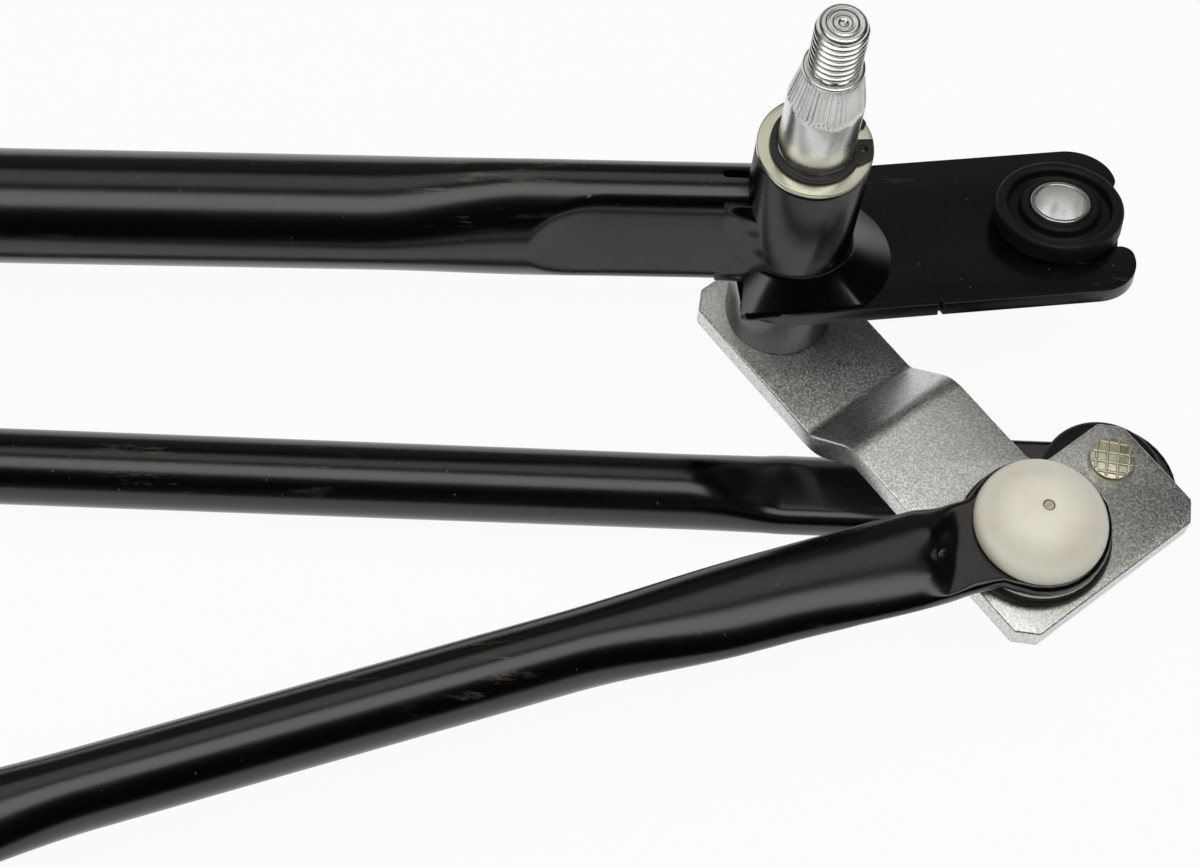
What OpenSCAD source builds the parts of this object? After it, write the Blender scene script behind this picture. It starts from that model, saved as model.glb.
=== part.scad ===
// Two-pivot windscreen wiper linkage: tube frame, joggled levers, tie link and drive link.
// Millimetres. The right pivot shaft stands along +Z and the tie link runs along X.
// The origin is the middle of the right mounting sleeve.

/* [Pivots] */
// distance between the two pivot shafts
pivot_spacing = 640; // [600:5:680]
// outside diameter of the pivot housings
housing_d = 22; // [21.6:0.1:23]
// height of the housing top over the lever
housing_top = 59.8; // [57:0.2:61]
// free height under the housing, over the lever
housing_gap = 0.4; // [0.3:0.1:0.8]
// diameter of the spindle where it turns in the bushes
spindle_d = 14.5; // [14:0.1:14.8]
// wall of the two plain bushes
bush_wall = 1.6; // [1.4:0.1:1.8]
// length of each bush
bush_length = 15; // [12:0.5:18]
// radial running clearance of the spindle in its bushes
bush_clearance = 0.05; // [0.03:0.01:0.08]
// height over the lever where the serrated cone starts
cone_start = 78; // [75:0.5:80]
// length of the serrated cone
cone_length = 9; // [8:0.5:10]
// top diameter of the serrated cone
cone_top_d = 10.9; // [10.6:0.1:11.4]
// thread diameter on top of the spindle
thread_d = 10; // [9.6:0.1:10.2]
// length of the thread
thread_length = 13; // [11:0.5:15]
// chamfer on the end of the thread
thread_chamfer = 0.8; // [0.5:0.1:1.2]
// diameter of the spindle inside the lever
spindle_root_d = 12; // [11:0.1:12.6]
// riveted head under the lever, diameter
spindle_rivet_d = 16; // [15:0.2:18]
// riveted head under the lever, height
spindle_rivet_h = 1.6; // [1.2:0.1:2]
// washer thickness
washer_t = 1.3; // [1.1:0.1:1.5]
// washer outside diameter
washer_d = 22; // [20:0.2:22.4]
// end play between housing and washer
washer_play = 0.3; // [0.3:0.05:0.5]
// circlip thickness
clip_t = 1.2; // [1:0.1:1.4]
// circlip ring outside diameter
clip_d = 17.6; // [17:0.1:18]
// depth of the circlip groove in the spindle
clip_groove = 0.9; // [0.7:0.05:1]

/* [Frame tube] */
// outside diameter of the frame tube
tube_d = 22; // [21:0.2:23]
// wall of the frame tube
tube_wall = 1.5; // [1.3:0.1:1.8]
// height of the tube axis over the lever
tube_height = 34.65; // [34:0.05:36]
// width of the flattened tube end
tube_end_w = 12; // [11:0.2:12.6]
// height of the flattened tube end
tube_end_h = 23.6; // [23:0.2:24.4]
// how far the flattened end is let down along its height
tube_end_low = 0.6; // [0.4:0.1:0.8]
// corner radius of the flattened tube end
tube_end_r = 3.2; // [2.8:0.1:3.6]
// where the tube starts to flatten, from the pivot axis
flat_start = 57; // [54:1:62]
// where the tube is fully flat, from the pivot axis
flat_full = 38; // [34:1:40]
// plan angle of the two outer tube runs
tube_angle = 1.5; // [1:0.1:1.8]
// half length of the straight run behind the motor plate
tube_mid = 60; // [56:1:70]
// gap between tube end and housing, filled by the weld
weld_gap = 0.06; // [0.05:0.01:0.1]

/* [Mounting brackets] */
// sheet thickness of the brackets
sheet_t = 3; // [2.6:0.1:3.2]
// lean of the mounting plane away from the shaft normal
mount_tilt = 15.6; // [14:0.2:17]
// plan angle of the bracket
mount_yaw = 7.8; // [6:0.2:9]
// height of the bracket face on the housing axis
plate_height = 22; // [20.5:0.1:22.4]
// near edge of the plate from the housing axis
plate_near = 17.2; // [16.6:0.2:18]
// far edge of the plate from the housing axis
plate_far = 24.2; // [23:0.2:25]
// end of the plate from the housing axis
plate_end = 70.5; // [69:0.5:73]
// cut edge of the plate beside the tube
plate_cut = 10; // [9.4:0.1:10.4]
// how much shorter the near lobe of the plate is
lobe_short = 2; // [1:0.2:3]
// corner radius of the plate end
plate_r = 9.2; // [8:0.2:9.4]
// radius of the two slot lips
lip_r = 2.6; // [2:0.1:2.8]
// place of the small notch in the near edge
notch_x = 27; // [25:0.5:30]
// radius of the small notch
notch_r = 0.9; // [0.6:0.1:1.2]
// radius of the plate round the housing
plate_neck_r = 17.2; // [16.6:0.1:17.6]
// height of the drawn collar over the plate
collar_h = 5.7; // [5:0.1:6.2]
// wall of the drawn collar at its top
collar_wall = 1.6; // [1.4:0.1:2]
// fillet radius of the drawn collar
collar_r = 5; // [4:0.2:5]
// width of the open slot for the grommet
slot_w = 17; // [16:0.2:18]
// sleeve axis from the housing axis, along the plate
sleeve_x = 55.4; // [54:0.2:56]
// grommet flange diameter
grommet_d = 25.8; // [25:0.2:26.6]
// grommet flange thickness
grommet_flange = 4.8; // [4.4:0.1:5.2]
// outside diameter of the ring groove in the grommet
grommet_groove_d = 21; // [20:0.2:21.6]
// hub diameter of the grommet
grommet_hub_d = 15.8; // [15:0.2:16.4]
// depth of the ring groove in the grommet
grommet_groove_h = 2.4; // [1.6:0.1:2.8]
// outside diameter of the steel sleeve
sleeve_d = 12; // [11.4:0.1:12.4]
// bore of the steel sleeve
sleeve_bore = 10.2; // [9.6:0.1:10.4]
// how far the sleeve stands out of the grommet on each side
sleeve_proud = 0.5; // [0.2:0.1:0.8]
// gap between the grommet neck and the slot
grommet_gap = 0.05; // [0.03:0.01:0.1]

/* [Motor plate] */
// plate centre from the right pivot, along the tube
motor_x = 282; // [275:1:300]
// plate centre in front of the pivots
motor_y = 62; // [58:1:70]
// radius of the round motor plate
motor_r = 43; // [42:0.5:46]
// bolt circle diameter of the motor screws
motor_pcd = 66; // [62:0.5:68]
// diameter of the motor screw holes
motor_hole_d = 6.8; // [6.4:0.1:7]
// diameter of the hole for the motor boss
motor_boss_d = 26; // [24:0.5:30]
// length of the saddle on the tube
saddle_length = 96; // [90:1:104]
// gap between saddle and tube, filled by the weld
saddle_gap = 0.1; // [0.08:0.02:0.2]

/* [Levers] */
// plate thickness of the levers
lever_t = 5.3; // [5:0.1:5.6]
// half width of the lever arm
lever_half = 13.5; // [13:0.1:14]
// plan angle of the right lever
lever_angle = -51.3; // [-54:0.1:-51]
// height of the step in the levers
lever_step = 11.2; // [10.8:0.1:11.6]
// start of the step from the pivot
step_from = 26.7; // [26:0.1:27.4]
// end of the step from the pivot
step_to = 36.8; // [36:0.1:37.6]
// end of the lever behind the pivot
lever_tail = 13; // [12.4:0.1:13.6]
// end of the lever head from the pivot
lever_end = 89; // [88:0.2:91]
// start of the side foot from the pivot
foot_from = 62; // [61:0.2:62.6]
// side reach of the foot
foot_reach = 33.6; // [33:0.1:35]
// corner chamfer of the lever plates
lever_chamfer = 3.6; // [3:0.1:4.2]
// inside corner radius of the foot
foot_r = 3.7; // [3:0.1:4.2]
// tie ball along the lever
tie_s = 69.8; // [69:0.1:70.6]
// tie ball beside the lever axis
tie_t = 26.3; // [25.8:0.1:26.6]
// drive ball along the lever
drive_s = 73.1; // [72.4:0.1:73.6]
// drive ball beside the lever axis
drive_t = 2.2; // [1.6:0.1:2.8]
// reach of the left lever past its ball
left_reach = 12; // [11:0.2:14]
// half width of the left lever at its end
left_half = 11.5; // [11:0.1:12.5]

/* [Ball joints] */
// ball diameter
ball_d = 13; // [12.6:0.1:13.4]
// radial clearance of the ball in its socket
ball_clearance = 0.1; // [0.05:0.01:0.15]
// ball stud collar diameter
stud_d = 9.4; // [9:0.1:9.6]
// ball stud shank diameter in the lever
shank_d = 8; // [7.4:0.1:8.4]
// riveted head diameter of the ball studs
rivet_d = 9.5; // [9.2:0.1:10.2]
// riveted head height of the ball studs
rivet_h = 1.5; // [1.2:0.1:1.8]
// middle of the link eye from the lever face
eye_offset = 5.8; // [5.7:0.05:6.1]
// ball centre beyond the middle of the link eye
ball_rise = 0.5; // [0.3:0.1:0.7]
// socket rim diameter
socket_d = 26.4; // [26:0.1:27]
// socket dome height over the link eye
dome_h = 8.8; // [8.4:0.1:9.4]
// height of the upright socket rim
dome_rim = 2.6; // [2.2:0.1:3]
// diameter of the socket through the link eye
socket_neck_d = 19; // [18.4:0.1:19.4]
// diameter of the flange under the drive link eyes
under_d = 28.6; // [28:0.1:29]
// diameter of the flange over the tie link eyes
tie_under_d = 24.4; // [24:0.1:25]
// thickness of the flange under the link eye
under_t = 1.3; // [1.1:0.1:1.4]
// centre hole of the dome
dome_hole_d = 2.4; // [1.6:0.1:3]
// mouth diameter of the socket
mouth_d = 11.4; // [11.2:0.1:12]
// assembly gap of the socket on the eye
eye_gap = 0.05; // [0.03:0.01:0.08]
// dust seal outside diameter on the drive link
seal_d = 30.2; // [29.4:0.2:31]
// dust seal outside diameter on the tie link
tie_seal_d = 24.8; // [24:0.2:25.4]
// dust seal bore
seal_bore = 11; // [10.6:0.1:12]
// dust seal thickness
seal_t = 2.2; // [1.8:0.1:2.2]

/* [Links] */
// outside diameter of the link tubes
link_d = 15.2; // [14.8:0.1:15.4]
// wall of the link tubes
link_wall = 1.6; // [1.4:0.1:1.8]
// thickness of the flattened link ends
eye_t = 3.3; // [3.2:0.05:3.5]
// radius of the drive link eyes
drive_eye_r = 14.2; // [14:0.1:14.6]
// radius of the tie link eyes
tie_eye_r = 13.4; // [13.2:0.1:14]
// how far the tie link eyes reach past their balls
tie_eye_out = 2; // [1.4:0.1:2.4]
// width of the flattened neck
neck_w = 18.6; // [18:0.2:19.4]
// where the neck joins the eye, from the ball
neck_from = 12; // [11:0.5:12.5]
// end of the flat of the tie link, from the ball
tie_flat = 20; // [18:0.5:23]
// start of the pressed run of the tie link, from the ball
tie_form = 44; // [40:1:48]
// end of the pressed run of the tie link, from the ball
tie_press = 64; // [60:1:68]
// start of the round of the tie link, from the ball
tie_round = 78; // [76:1:86]
// width of the pressed run of the tie link
tie_press_w = 17.4; // [16.8:0.1:18]
// height of the pressed run of the tie link
tie_press_h = 9; // [8.8:0.1:9.2]
// height of the pressed run of the tie link under its eyes
tie_press_drop = 10.1; // [9.9:0.1:10.4]
// side offset of the pressed run of the tie link
tie_press_side = -0.6; // [-1:0.1:0]
// end of the flat of the drive link, from the ball
drive_flat = 13; // [13:0.5:15]
// end of the pinched neck of the drive link, from the ball
drive_form = 26; // [24:0.5:28]
// end of the oval run of the drive link, from the ball
drive_oval = 58; // [54:1:62]
// start of the round of the drive link, from the ball
drive_round = 95; // [90:1:100]
// width of the drive link behind its pinched neck
drive_press_w = 19.8; // [19.4:0.1:20]
// height of the drive link behind its pinched neck
drive_press_h = 8.4; // [8:0.1:8.6]
// height of the pinched neck under its eye
drive_press_drop = 0.3; // [0.1:0.1:0.4]
// side offset of the pinched neck
drive_press_side = -0.4; // [-0.6:0.1:-0.2]
// width of the oval run of the drive link
drive_oval_w = 18.6; // [18:0.1:19]
// height of the oval run of the drive link
drive_oval_h = 11; // [10.6:0.1:11.2]
// height of the oval run under its eyes
drive_oval_drop = 1.2; // [1:0.1:1.4]
// side offset of the oval run
drive_oval_side = -1.4; // [-1.7:0.1:-1.1]
// ball distance of the drive link
drive_length = 280; // [270:2:296]
// plan angle of the drive link
drive_angle = 198.9; // [196:0.1:202]
// height of the tie tube under its eyes
tie_drop = 6; // [5.6:0.1:6.2]
// side offset of the tie tube from its balls
tie_side = 1.9; // [1:0.1:2.4]
// height of the drive tube under its eyes
drive_drop = 2.6; // [2.4:0.1:3]
// side offset of the drive tube from its balls
drive_side = -2.5; // [-2.8:0.1:-2.2]

/* [Hidden] */
$fn = 64;
eps = 0.01;
housing_r = housing_d / 2;
bush_r = spindle_d / 2 + bush_clearance;
housing_bore_r = bush_r + bush_wall;
washer_z = housing_top + washer_play;
clip_z = washer_z + washer_t + 0.1;
groove_r = spindle_d / 2 - clip_groove;
thread_from = cone_start + cone_length;
thread_top = thread_from + thread_length;
sleeve_y = (plate_far - plate_near) / 2;
head_under = lever_step - lever_t;
tie_ball = turn(lever_angle, [tie_s, tie_t]);
drive_ball = turn(lever_angle, [drive_s, drive_t]);
tie_eye_z = head_under - eye_offset;
drive_eye_z = lever_step + eye_offset;
tie_radius = norm(tie_ball);
left_angle = atan2(tie_ball[1], tie_ball[0]);
mid_y = -tan(tube_angle) * (pivot_spacing / 2 - tube_mid);
hole_r = socket_neck_d / 2 + eye_gap;
origin = plate_point([sleeve_x, sleeve_y, -sheet_t / 2]);
steel_black = [0.05, 0.05, 0.055];
zinc = [0.72, 0.73, 0.74];
nylon = [0.93, 0.92, 0.88];
rubber_black = [0.03, 0.03, 0.032];
bronze = [0.7, 0.52, 0.3];

function turn(a, p) = [p[0] * cos(a) - p[1] * sin(a), p[0] * sin(a) + p[1] * cos(a)];
function mix(a, b, t) = a + (b - a) * t;
function ease(t) = let (u = min(1, max(0, t))) u * u * (3 - 2 * u);

// a point of the leaning mounting plane in the pivot frame
function plate_point(p) =
  let (y = p[1] * cos(mount_tilt) + p[2] * sin(mount_tilt))
  let (z = p[2] * cos(mount_tilt) - p[1] * sin(mount_tilt))
  let (q = turn(mount_yaw, [p[0], y]))
  [q[0], q[1], z + plate_height];

// one point of a rounded rectangle, seen at the angle a from its middle
function round_rect(a, w, h, r) =
  let (c = cos(a), s = sin(a))
  [
    sign(c) * (w / 2 - r) * min(1, abs(c) * 1.6) + r * c,
    sign(s) * (h / 2 - r) * min(1, abs(s) * 1.6) + r * s
  ];

// faces that join k rings of n points, with flat ends
function skin_faces(n, k) = concat(
  [[for (i = [0:n - 1]) i]],
  [for (j = [0:k - 2]) for (i = [0:n - 1])
    [j * n + i, (j + 1) * n + i, (j + 1) * n + (i + 1) % n, j * n + (i + 1) % n]],
  [[for (i = [n - 1:-1:0]) (k - 1) * n + i]]
);

// faces of an open tube: k outer rings, then k inner rings
function tube_faces(n, k) = let (m = n * k) concat(
  [for (j = [0:k - 2]) for (i = [0:n - 1])
    [j * n + i, (j + 1) * n + i, (j + 1) * n + (i + 1) % n, j * n + (i + 1) % n]],
  [for (j = [0:k - 2]) for (i = [0:n - 1])
    [m + j * n + i, m + j * n + (i + 1) % n, m + (j + 1) * n + (i + 1) % n, m + (j + 1) * n + i]],
  [for (i = [0:n - 1]) [i, (i + 1) % n, m + (i + 1) % n, m + i]],
  [for (i = [0:n - 1]) let (a = (k - 1) * n)
    [a + i, m + a + i, m + a + (i + 1) % n, a + (i + 1) % n]]
);

// frame tube: distance along the tube from the nearer pivot
function tube_near(x) = min(-x, pivot_spacing + x);
function tube_flat(x) = 1 - ease((tube_near(x) - flat_full) / (flat_start - flat_full));
function tube_y(x) =
  let (s = abs(x + pivot_spacing / 2) - tube_mid)
  mid_y + tan(tube_angle) * (s + sqrt(s * s + 64)) / 2;

function tube_ring(x, grow, n) =
  let (b = tube_flat(x), w = mix(tube_d, tube_end_w, b) + 2 * grow)
  let (h = mix(tube_d, tube_end_h, b) + 2 * grow, r = mix(tube_d / 2, tube_end_r, b) + grow)
  [for (i = [0:n - 1])
    let (p = round_rect(i * 360 / n, w, h, r) - [0, tube_end_low * b])
    let (y = p[0] * cos(mount_tilt) + p[1] * sin(mount_tilt) + tube_y(x))
    let (z = p[1] * cos(mount_tilt) - p[0] * sin(mount_tilt) + tube_height)
    let (e = sqrt(pow(housing_r + weld_gap, 2) - min(y * y, 0.23 * housing_r * housing_r)))
    [x > -housing_r - 0.5 ? -e : x < housing_r + 0.5 - pivot_spacing ? e - pivot_spacing : x, y, z]];

tube_half_stations = [
  -housing_r, -18, -flat_full,
  for (k = [1:5]) -mix(flat_full, flat_start, k / 5),
  for (k = [-3, -1.5, -0.5, 0.5, 1.5, 3]) tube_mid + k * 8 - pivot_spacing / 2
];
tube_stations = concat(
  [for (k = [0:7]) tube_half_stations[k]],
  [for (k = [13:-1:8]) tube_half_stations[k]],
  [for (k = [8:13]) -pivot_spacing - tube_half_stations[k]],
  [for (k = [7:-1:0]) -pivot_spacing - tube_half_stations[k]]
);

module frame_tube() {
  n = 36;
  k = len(tube_stations);
  rings = concat(
    [for (x = tube_stations) each tube_ring(x, 0, n)],
    [for (x = tube_stations) each tube_ring(x, -tube_wall, n)]
  );
  color(steel_black)
    polyhedron(points = rings, faces = tube_faces(n, k), convexity = 6);
}

module housing() {
  color(steel_black)
    difference() {
      translate([0, 0, housing_gap])
        cylinder(r = housing_r, h = housing_top - housing_gap);
      translate([0, 0, -1])
        cylinder(r = housing_bore_r, h = housing_top + 2);
      translate([0, 0, housing_gap - eps])
        cylinder(r1 = housing_bore_r + 0.6, r2 = housing_bore_r, h = 0.6);
    }
}

module bush(z) {
  color(bronze)
    translate([0, 0, z])
      difference() {
        cylinder(r = housing_bore_r, h = bush_length);
        translate([0, 0, -1])
          cylinder(r = bush_r, h = bush_length + 2);
      }
}

module spindle() {
  color(zinc)
    difference() {
      union() {
        translate([0, 0, -lever_t - spindle_rivet_h])
          cylinder(d1 = spindle_rivet_d - 2 * spindle_rivet_h, d2 = spindle_rivet_d, h = spindle_rivet_h);
        translate([0, 0, -lever_t - eps])
          cylinder(d = spindle_root_d, h = lever_t + 2 * eps);
        cylinder(d = spindle_d, h = cone_start);
        translate([0, 0, cone_start - eps])
          cylinder(d1 = spindle_d, d2 = cone_top_d, h = cone_length + eps);
        translate([0, 0, thread_from - eps])
          cylinder(d = thread_d, h = thread_length - thread_chamfer + eps);
        translate([0, 0, thread_top - thread_chamfer - eps])
          cylinder(d1 = thread_d, d2 = thread_d - 2 * thread_chamfer, h = thread_chamfer + eps);
      }
      translate([0, 0, clip_z - 0.05])
        difference() {
          cylinder(d = spindle_d + 2, h = clip_t + 0.1);
          translate([0, 0, -1])
            cylinder(r = groove_r, h = clip_t + 3);
        }
      translate([0, 0, thread_top - 1.5])
        cylinder(r1 = 0.4, r2 = 1.8, h = 1.5 + eps);
    }
}

module washer() {
  color(zinc)
    translate([0, 0, washer_z])
      difference() {
        cylinder(d = washer_d, h = washer_t);
        translate([0, 0, -1])
          cylinder(r = spindle_d / 2 + 0.15, h = washer_t + 2);
      }
}

module circlip() {
  lug_r = clip_d / 2 + 0.1;
  color(steel_black)
    translate([0, 0, clip_z])
      difference() {
        union() {
          cylinder(d = clip_d, h = clip_t);
          for (a = [2, 62])
            rotate([0, 0, a])
              translate([lug_r, 0, 0])
                cylinder(r = 2, h = clip_t);
        }
        translate([0, 0, -1])
          cylinder(r = groove_r + 0.05, h = clip_t + 2);
        translate([0, 0, -1])
          linear_extrude(clip_t + 2)
            polygon([[0, 0], [20 * cos(25), 20 * sin(25)], [20 * cos(39), 20 * sin(39)]]);
        for (a = [2, 62])
          rotate([0, 0, a])
            translate([lug_r + 0.2, 0, -1])
              cylinder(r = 0.9, h = clip_t + 2);
      }
}

// points of an arc about c
function arc(c, r, a, b, n) = [
  for (k = [0:n])
    let (t = mix(a, b, k / n))
    [c[0] + r * cos(t), c[1] + r * sin(t)]
];

// outline of a mounting bracket in its own plane, with the open slot at its end
module bracket_outline() {
  low = sleeve_y - slot_w / 2 - lip_r;
  high = sleeve_y + slot_w / 2 + lip_r;
  near_end = plate_end - lobe_short;
  cut = acos(plate_cut / plate_neck_r) - 0.5;
  difference() {
    polygon(concat(
      arc([0, 0], plate_near, 180 + cut, 270, 6),
      arc([near_end - plate_r, plate_r - plate_near], plate_r, 270, 360, 12),
      arc([near_end - lip_r, low], lip_r, 0, 90, 5),
      arc([sleeve_x, sleeve_y], slot_w / 2, 270, 90, 24),
      arc([plate_end - lip_r, high], lip_r, 270, 360, 5),
      arc([plate_end - plate_r, plate_far - plate_r], plate_r, 0, 90, 12),
      [[plate_neck_r, plate_far]],
      arc([0, 0], plate_neck_r, 110, 180 - cut, 4)
    ));
    translate([notch_x, -plate_near])
      circle(r = notch_r);
  }
}

module in_plate() {
  translate([0, 0, plate_height])
    rotate([0, 0, mount_yaw])
      rotate([-mount_tilt, 0, 0])
        children();
}

module mount_bracket() {
  collar_in = housing_r / cos(mount_tilt) + collar_wall;
  color(steel_black)
    difference() {
      in_plate()
        difference() {
          union() {
            translate([0, 0, -sheet_t])
              linear_extrude(sheet_t)
                bracket_outline();
            translate([0, 0, -1])
              cylinder(r1 = collar_in + collar_r - 1, r2 = collar_in + 1, h = collar_r - 1);
            translate([0, 0, -1])
              cylinder(r1 = collar_in + 2.2, r2 = collar_in, h = collar_h + 1);
          }
          translate([-plate_cut - 40, -40, -10])
            cube([40, 80, 30]);
        }
      translate([0, 0, -5])
        cylinder(r = housing_r + weld_gap, h = housing_top);
    }
}

module in_mount() {
  in_plate()
    translate([sleeve_x, sleeve_y, -sheet_t / 2])
      children();
}

module grommet() {
  half = sheet_t / 2 + grommet_flange;
  color(rubber_black)
    in_mount()
      rotate_extrude()
        difference() {
          translate([sleeve_d / 2, -half])
            square([grommet_d / 2 - sleeve_d / 2, 2 * half]);
          translate([slot_w / 2 - grommet_gap, -sheet_t / 2 - grommet_gap])
            square([grommet_d, sheet_t + 2 * grommet_gap]);
          for (s = [-1, 1])
            translate([
              grommet_hub_d / 2,
              s > 0 ? half - grommet_groove_h : -half - 1
            ])
              square([(grommet_groove_d - grommet_hub_d) / 2, grommet_groove_h + 1]);
        }
}

module grommet_sleeve() {
  half = sheet_t / 2 + grommet_flange + sleeve_proud;
  color(zinc)
    in_mount()
      translate([0, 0, -half])
        difference() {
          cylinder(d = sleeve_d, h = 2 * half);
          translate([0, 0, -1])
            cylinder(d = sleeve_bore, h = 2 * half + 2);
        }
}

module motor_bracket() {
  z0 = tube_height - sheet_t / 2;
  inner = tube_d / 2 + saddle_gap;
  color(steel_black)
    difference() {
      union() {
        translate([0, 0, z0])
          linear_extrude(sheet_t)
            union() {
              translate([-motor_x, -motor_y])
                circle(r = motor_r);
              polygon([
                [-motor_x + motor_r * cos(20), -motor_y + motor_r * sin(20)],
                [-pivot_spacing / 2 + saddle_length / 2, mid_y - inner - 6],
                [-pivot_spacing / 2 + saddle_length / 2, mid_y - inner + 2],
                [-pivot_spacing / 2 - saddle_length / 2, mid_y - inner + 2],
                [-pivot_spacing / 2 - saddle_length / 2, mid_y - inner - 6],
                [-motor_x - motor_r * cos(10), -motor_y - motor_r * sin(10)],
                [-motor_x, -motor_y]
              ]);
            }
        translate([-pivot_spacing / 2 - saddle_length / 2, mid_y, tube_height])
          rotate([90, 0, 90])
            linear_extrude(saddle_length)
              difference() {
                circle(r = inner + sheet_t);
                translate([1, -60])
                  square([60, 120]);
                translate([-60, -60])
                  square([61, 60 - sheet_t / 2]);
              }
      }
      translate([-pivot_spacing / 2 - saddle_length, mid_y, tube_height])
        rotate([0, 90, 0])
          cylinder(r = inner, h = 2 * saddle_length);
      translate([-motor_x, -motor_y, z0 - 1])
        cylinder(d = motor_boss_d, h = sheet_t + 2);
      for (a = [30, 150, 270])
        translate([
          -motor_x + motor_pcd / 2 * cos(a),
          -motor_y + motor_pcd / 2 * sin(a),
          z0 - 1
        ])
          cylinder(d = motor_hole_d, h = sheet_t + 2);
    }
}

// side view of a stepped lever, from its tail to the distance far
module lever_side(far) {
  bend = lever_t * tan(atan2(lever_step, step_to - step_from) / 2);
  polygon([
    [-lever_tail - 1, -lever_t],
    [step_from + bend, -lever_t],
    [step_to + bend, head_under],
    [far, head_under],
    [far, lever_step],
    [step_to, lever_step],
    [step_from, 0],
    [-lever_tail - 1, 0]
  ]);
}

module right_lever_plan() {
  c = lever_chamfer;
  polygon(concat(
    [
      [-lever_tail, -lever_half + c],
      [-lever_tail + c, -lever_half],
      [lever_end - c, -lever_half],
      [lever_end, -lever_half + c],
      [lever_end, foot_reach - c],
      [lever_end - c, foot_reach],
      [foot_from + c, foot_reach],
      [foot_from, foot_reach - c]
    ],
    [for (a = [0:-15:-90])
      [foot_from - foot_r + foot_r * cos(a), lever_half + foot_r + foot_r * sin(a)]],
    [[-lever_tail + c, lever_half], [-lever_tail, lever_half - c]]
  ));
}

module left_lever_plan() {
  c = lever_chamfer;
  far = tie_radius + left_reach;
  polygon([
    [-lever_tail, -lever_half + c],
    [-lever_tail + c, -lever_half],
    [step_to + 6, -lever_half],
    [far - 2 * c, -left_half],
    [far, -left_half + 2 * c],
    [far, left_half - 2 * c],
    [far - 2 * c, left_half],
    [step_to + 6, lever_half],
    [-lever_tail + c, lever_half],
    [-lever_tail, lever_half - c]
  ]);
}

module lever_solid(far) {
  intersection() {
    translate([0, 0, -lever_t - 1])
      linear_extrude(lever_step + lever_t + 2)
        children();
    translate([0, 60, 0])
      rotate([90, 0, 0])
        linear_extrude(120)
          lever_side(far);
  }
}

module spindle_hole() {
  translate([0, 0, -lever_t - 1])
    cylinder(d = spindle_root_d, h = lever_t + 2);
}

module right_lever() {
  color(zinc)
    rotate([0, 0, lever_angle])
      difference() {
        lever_solid(lever_end + 1)
          right_lever_plan();
        spindle_hole();
        translate([tie_s, tie_t, head_under - 1])
          cylinder(d = shank_d, h = lever_t + 2);
        translate([drive_s, drive_t, head_under - 1])
          cylinder(d = shank_d, h = lever_t + 2);
      }
}

module left_lever() {
  color(zinc)
    translate([-pivot_spacing, 0, 0])
      rotate([0, 0, left_angle])
        difference() {
          lever_solid(tie_radius + left_reach + 1)
            left_lever_plan();
          spindle_hole();
          translate([tie_radius, 0, head_under - 1])
            cylinder(d = shank_d, h = lever_t + 2);
        }
}

// ball stud with its ball towards +Z and the lever face at z = 0
module ball_stud() {
  centre = eye_offset + ball_rise;
  color(zinc)
    union() {
      translate([0, 0, centre])
        sphere(d = ball_d);
      cylinder(d = stud_d, h = centre);
      translate([0, 0, -lever_t - eps])
        cylinder(d = shank_d, h = lever_t + 2 * eps);
      translate([0, 0, -lever_t - rivet_h])
        cylinder(d1 = rivet_d - 0.8, d2 = rivet_d, h = rivet_h);
    }
}

// ball socket with its dome towards +Z and the middle of the eye at z = 0
module socket(flange_d = under_d) {
  face = eye_t / 2 + eye_gap;
  shoulder = socket_d / 2 - 2.8;
  under = -face - under_t;
  color(nylon)
    rotate_extrude()
      difference() {
        union() {
          polygon([
            [0, face],
            [socket_d / 2, face],
            [socket_d / 2 - 0.3, face + dome_rim],
            [socket_d / 2 - 1.2, face + dome_rim + 1.4],
            [shoulder, face + dome_rim + 2.3],
            [shoulder - 3, face + dome_h - 2.1],
            [shoulder - 6, face + dome_h - 0.7],
            [dome_hole_d / 2 + 1, face + dome_h],
            [0, face + dome_h]
          ]);
          translate([0, under])
            square([socket_neck_d / 2, 2 * face + under_t]);
          translate([0, under])
            square([flange_d / 2, under_t]);
        }
        translate([0, ball_rise])
          circle(r = ball_d / 2 + ball_clearance);
        translate([0, under - 1])
          square([mouth_d / 2, ball_rise - under + 1]);
        translate([0, -20])
          square([dome_hole_d / 2, 60]);
        translate([-40, -40])
          square([40, 80]);
      }
}

module seal(outer_d = seal_d) {
  under = -eye_t / 2 - eye_gap - under_t;
  color(rubber_black)
    translate([0, 0, under - seal_t - 0.02])
      difference() {
        cylinder(d = outer_d, h = seal_t);
        translate([0, 0, -1])
          cylinder(d = seal_bore, h = seal_t + 2);
      }
}

// width of an eye and its neck at the distance d from the ball; eye is its radius and its reach
function eye_w(d, eye) =
  let (u = d + eye[1], e = abs(u) < eye[0] ? 2 * sqrt(eye[0] * eye[0] - u * u) : 0)
  u < 0 ? e : d > neck_from ? neck_w : mix(max(e, neck_w), neck_w, ease(d / neck_from));

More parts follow.
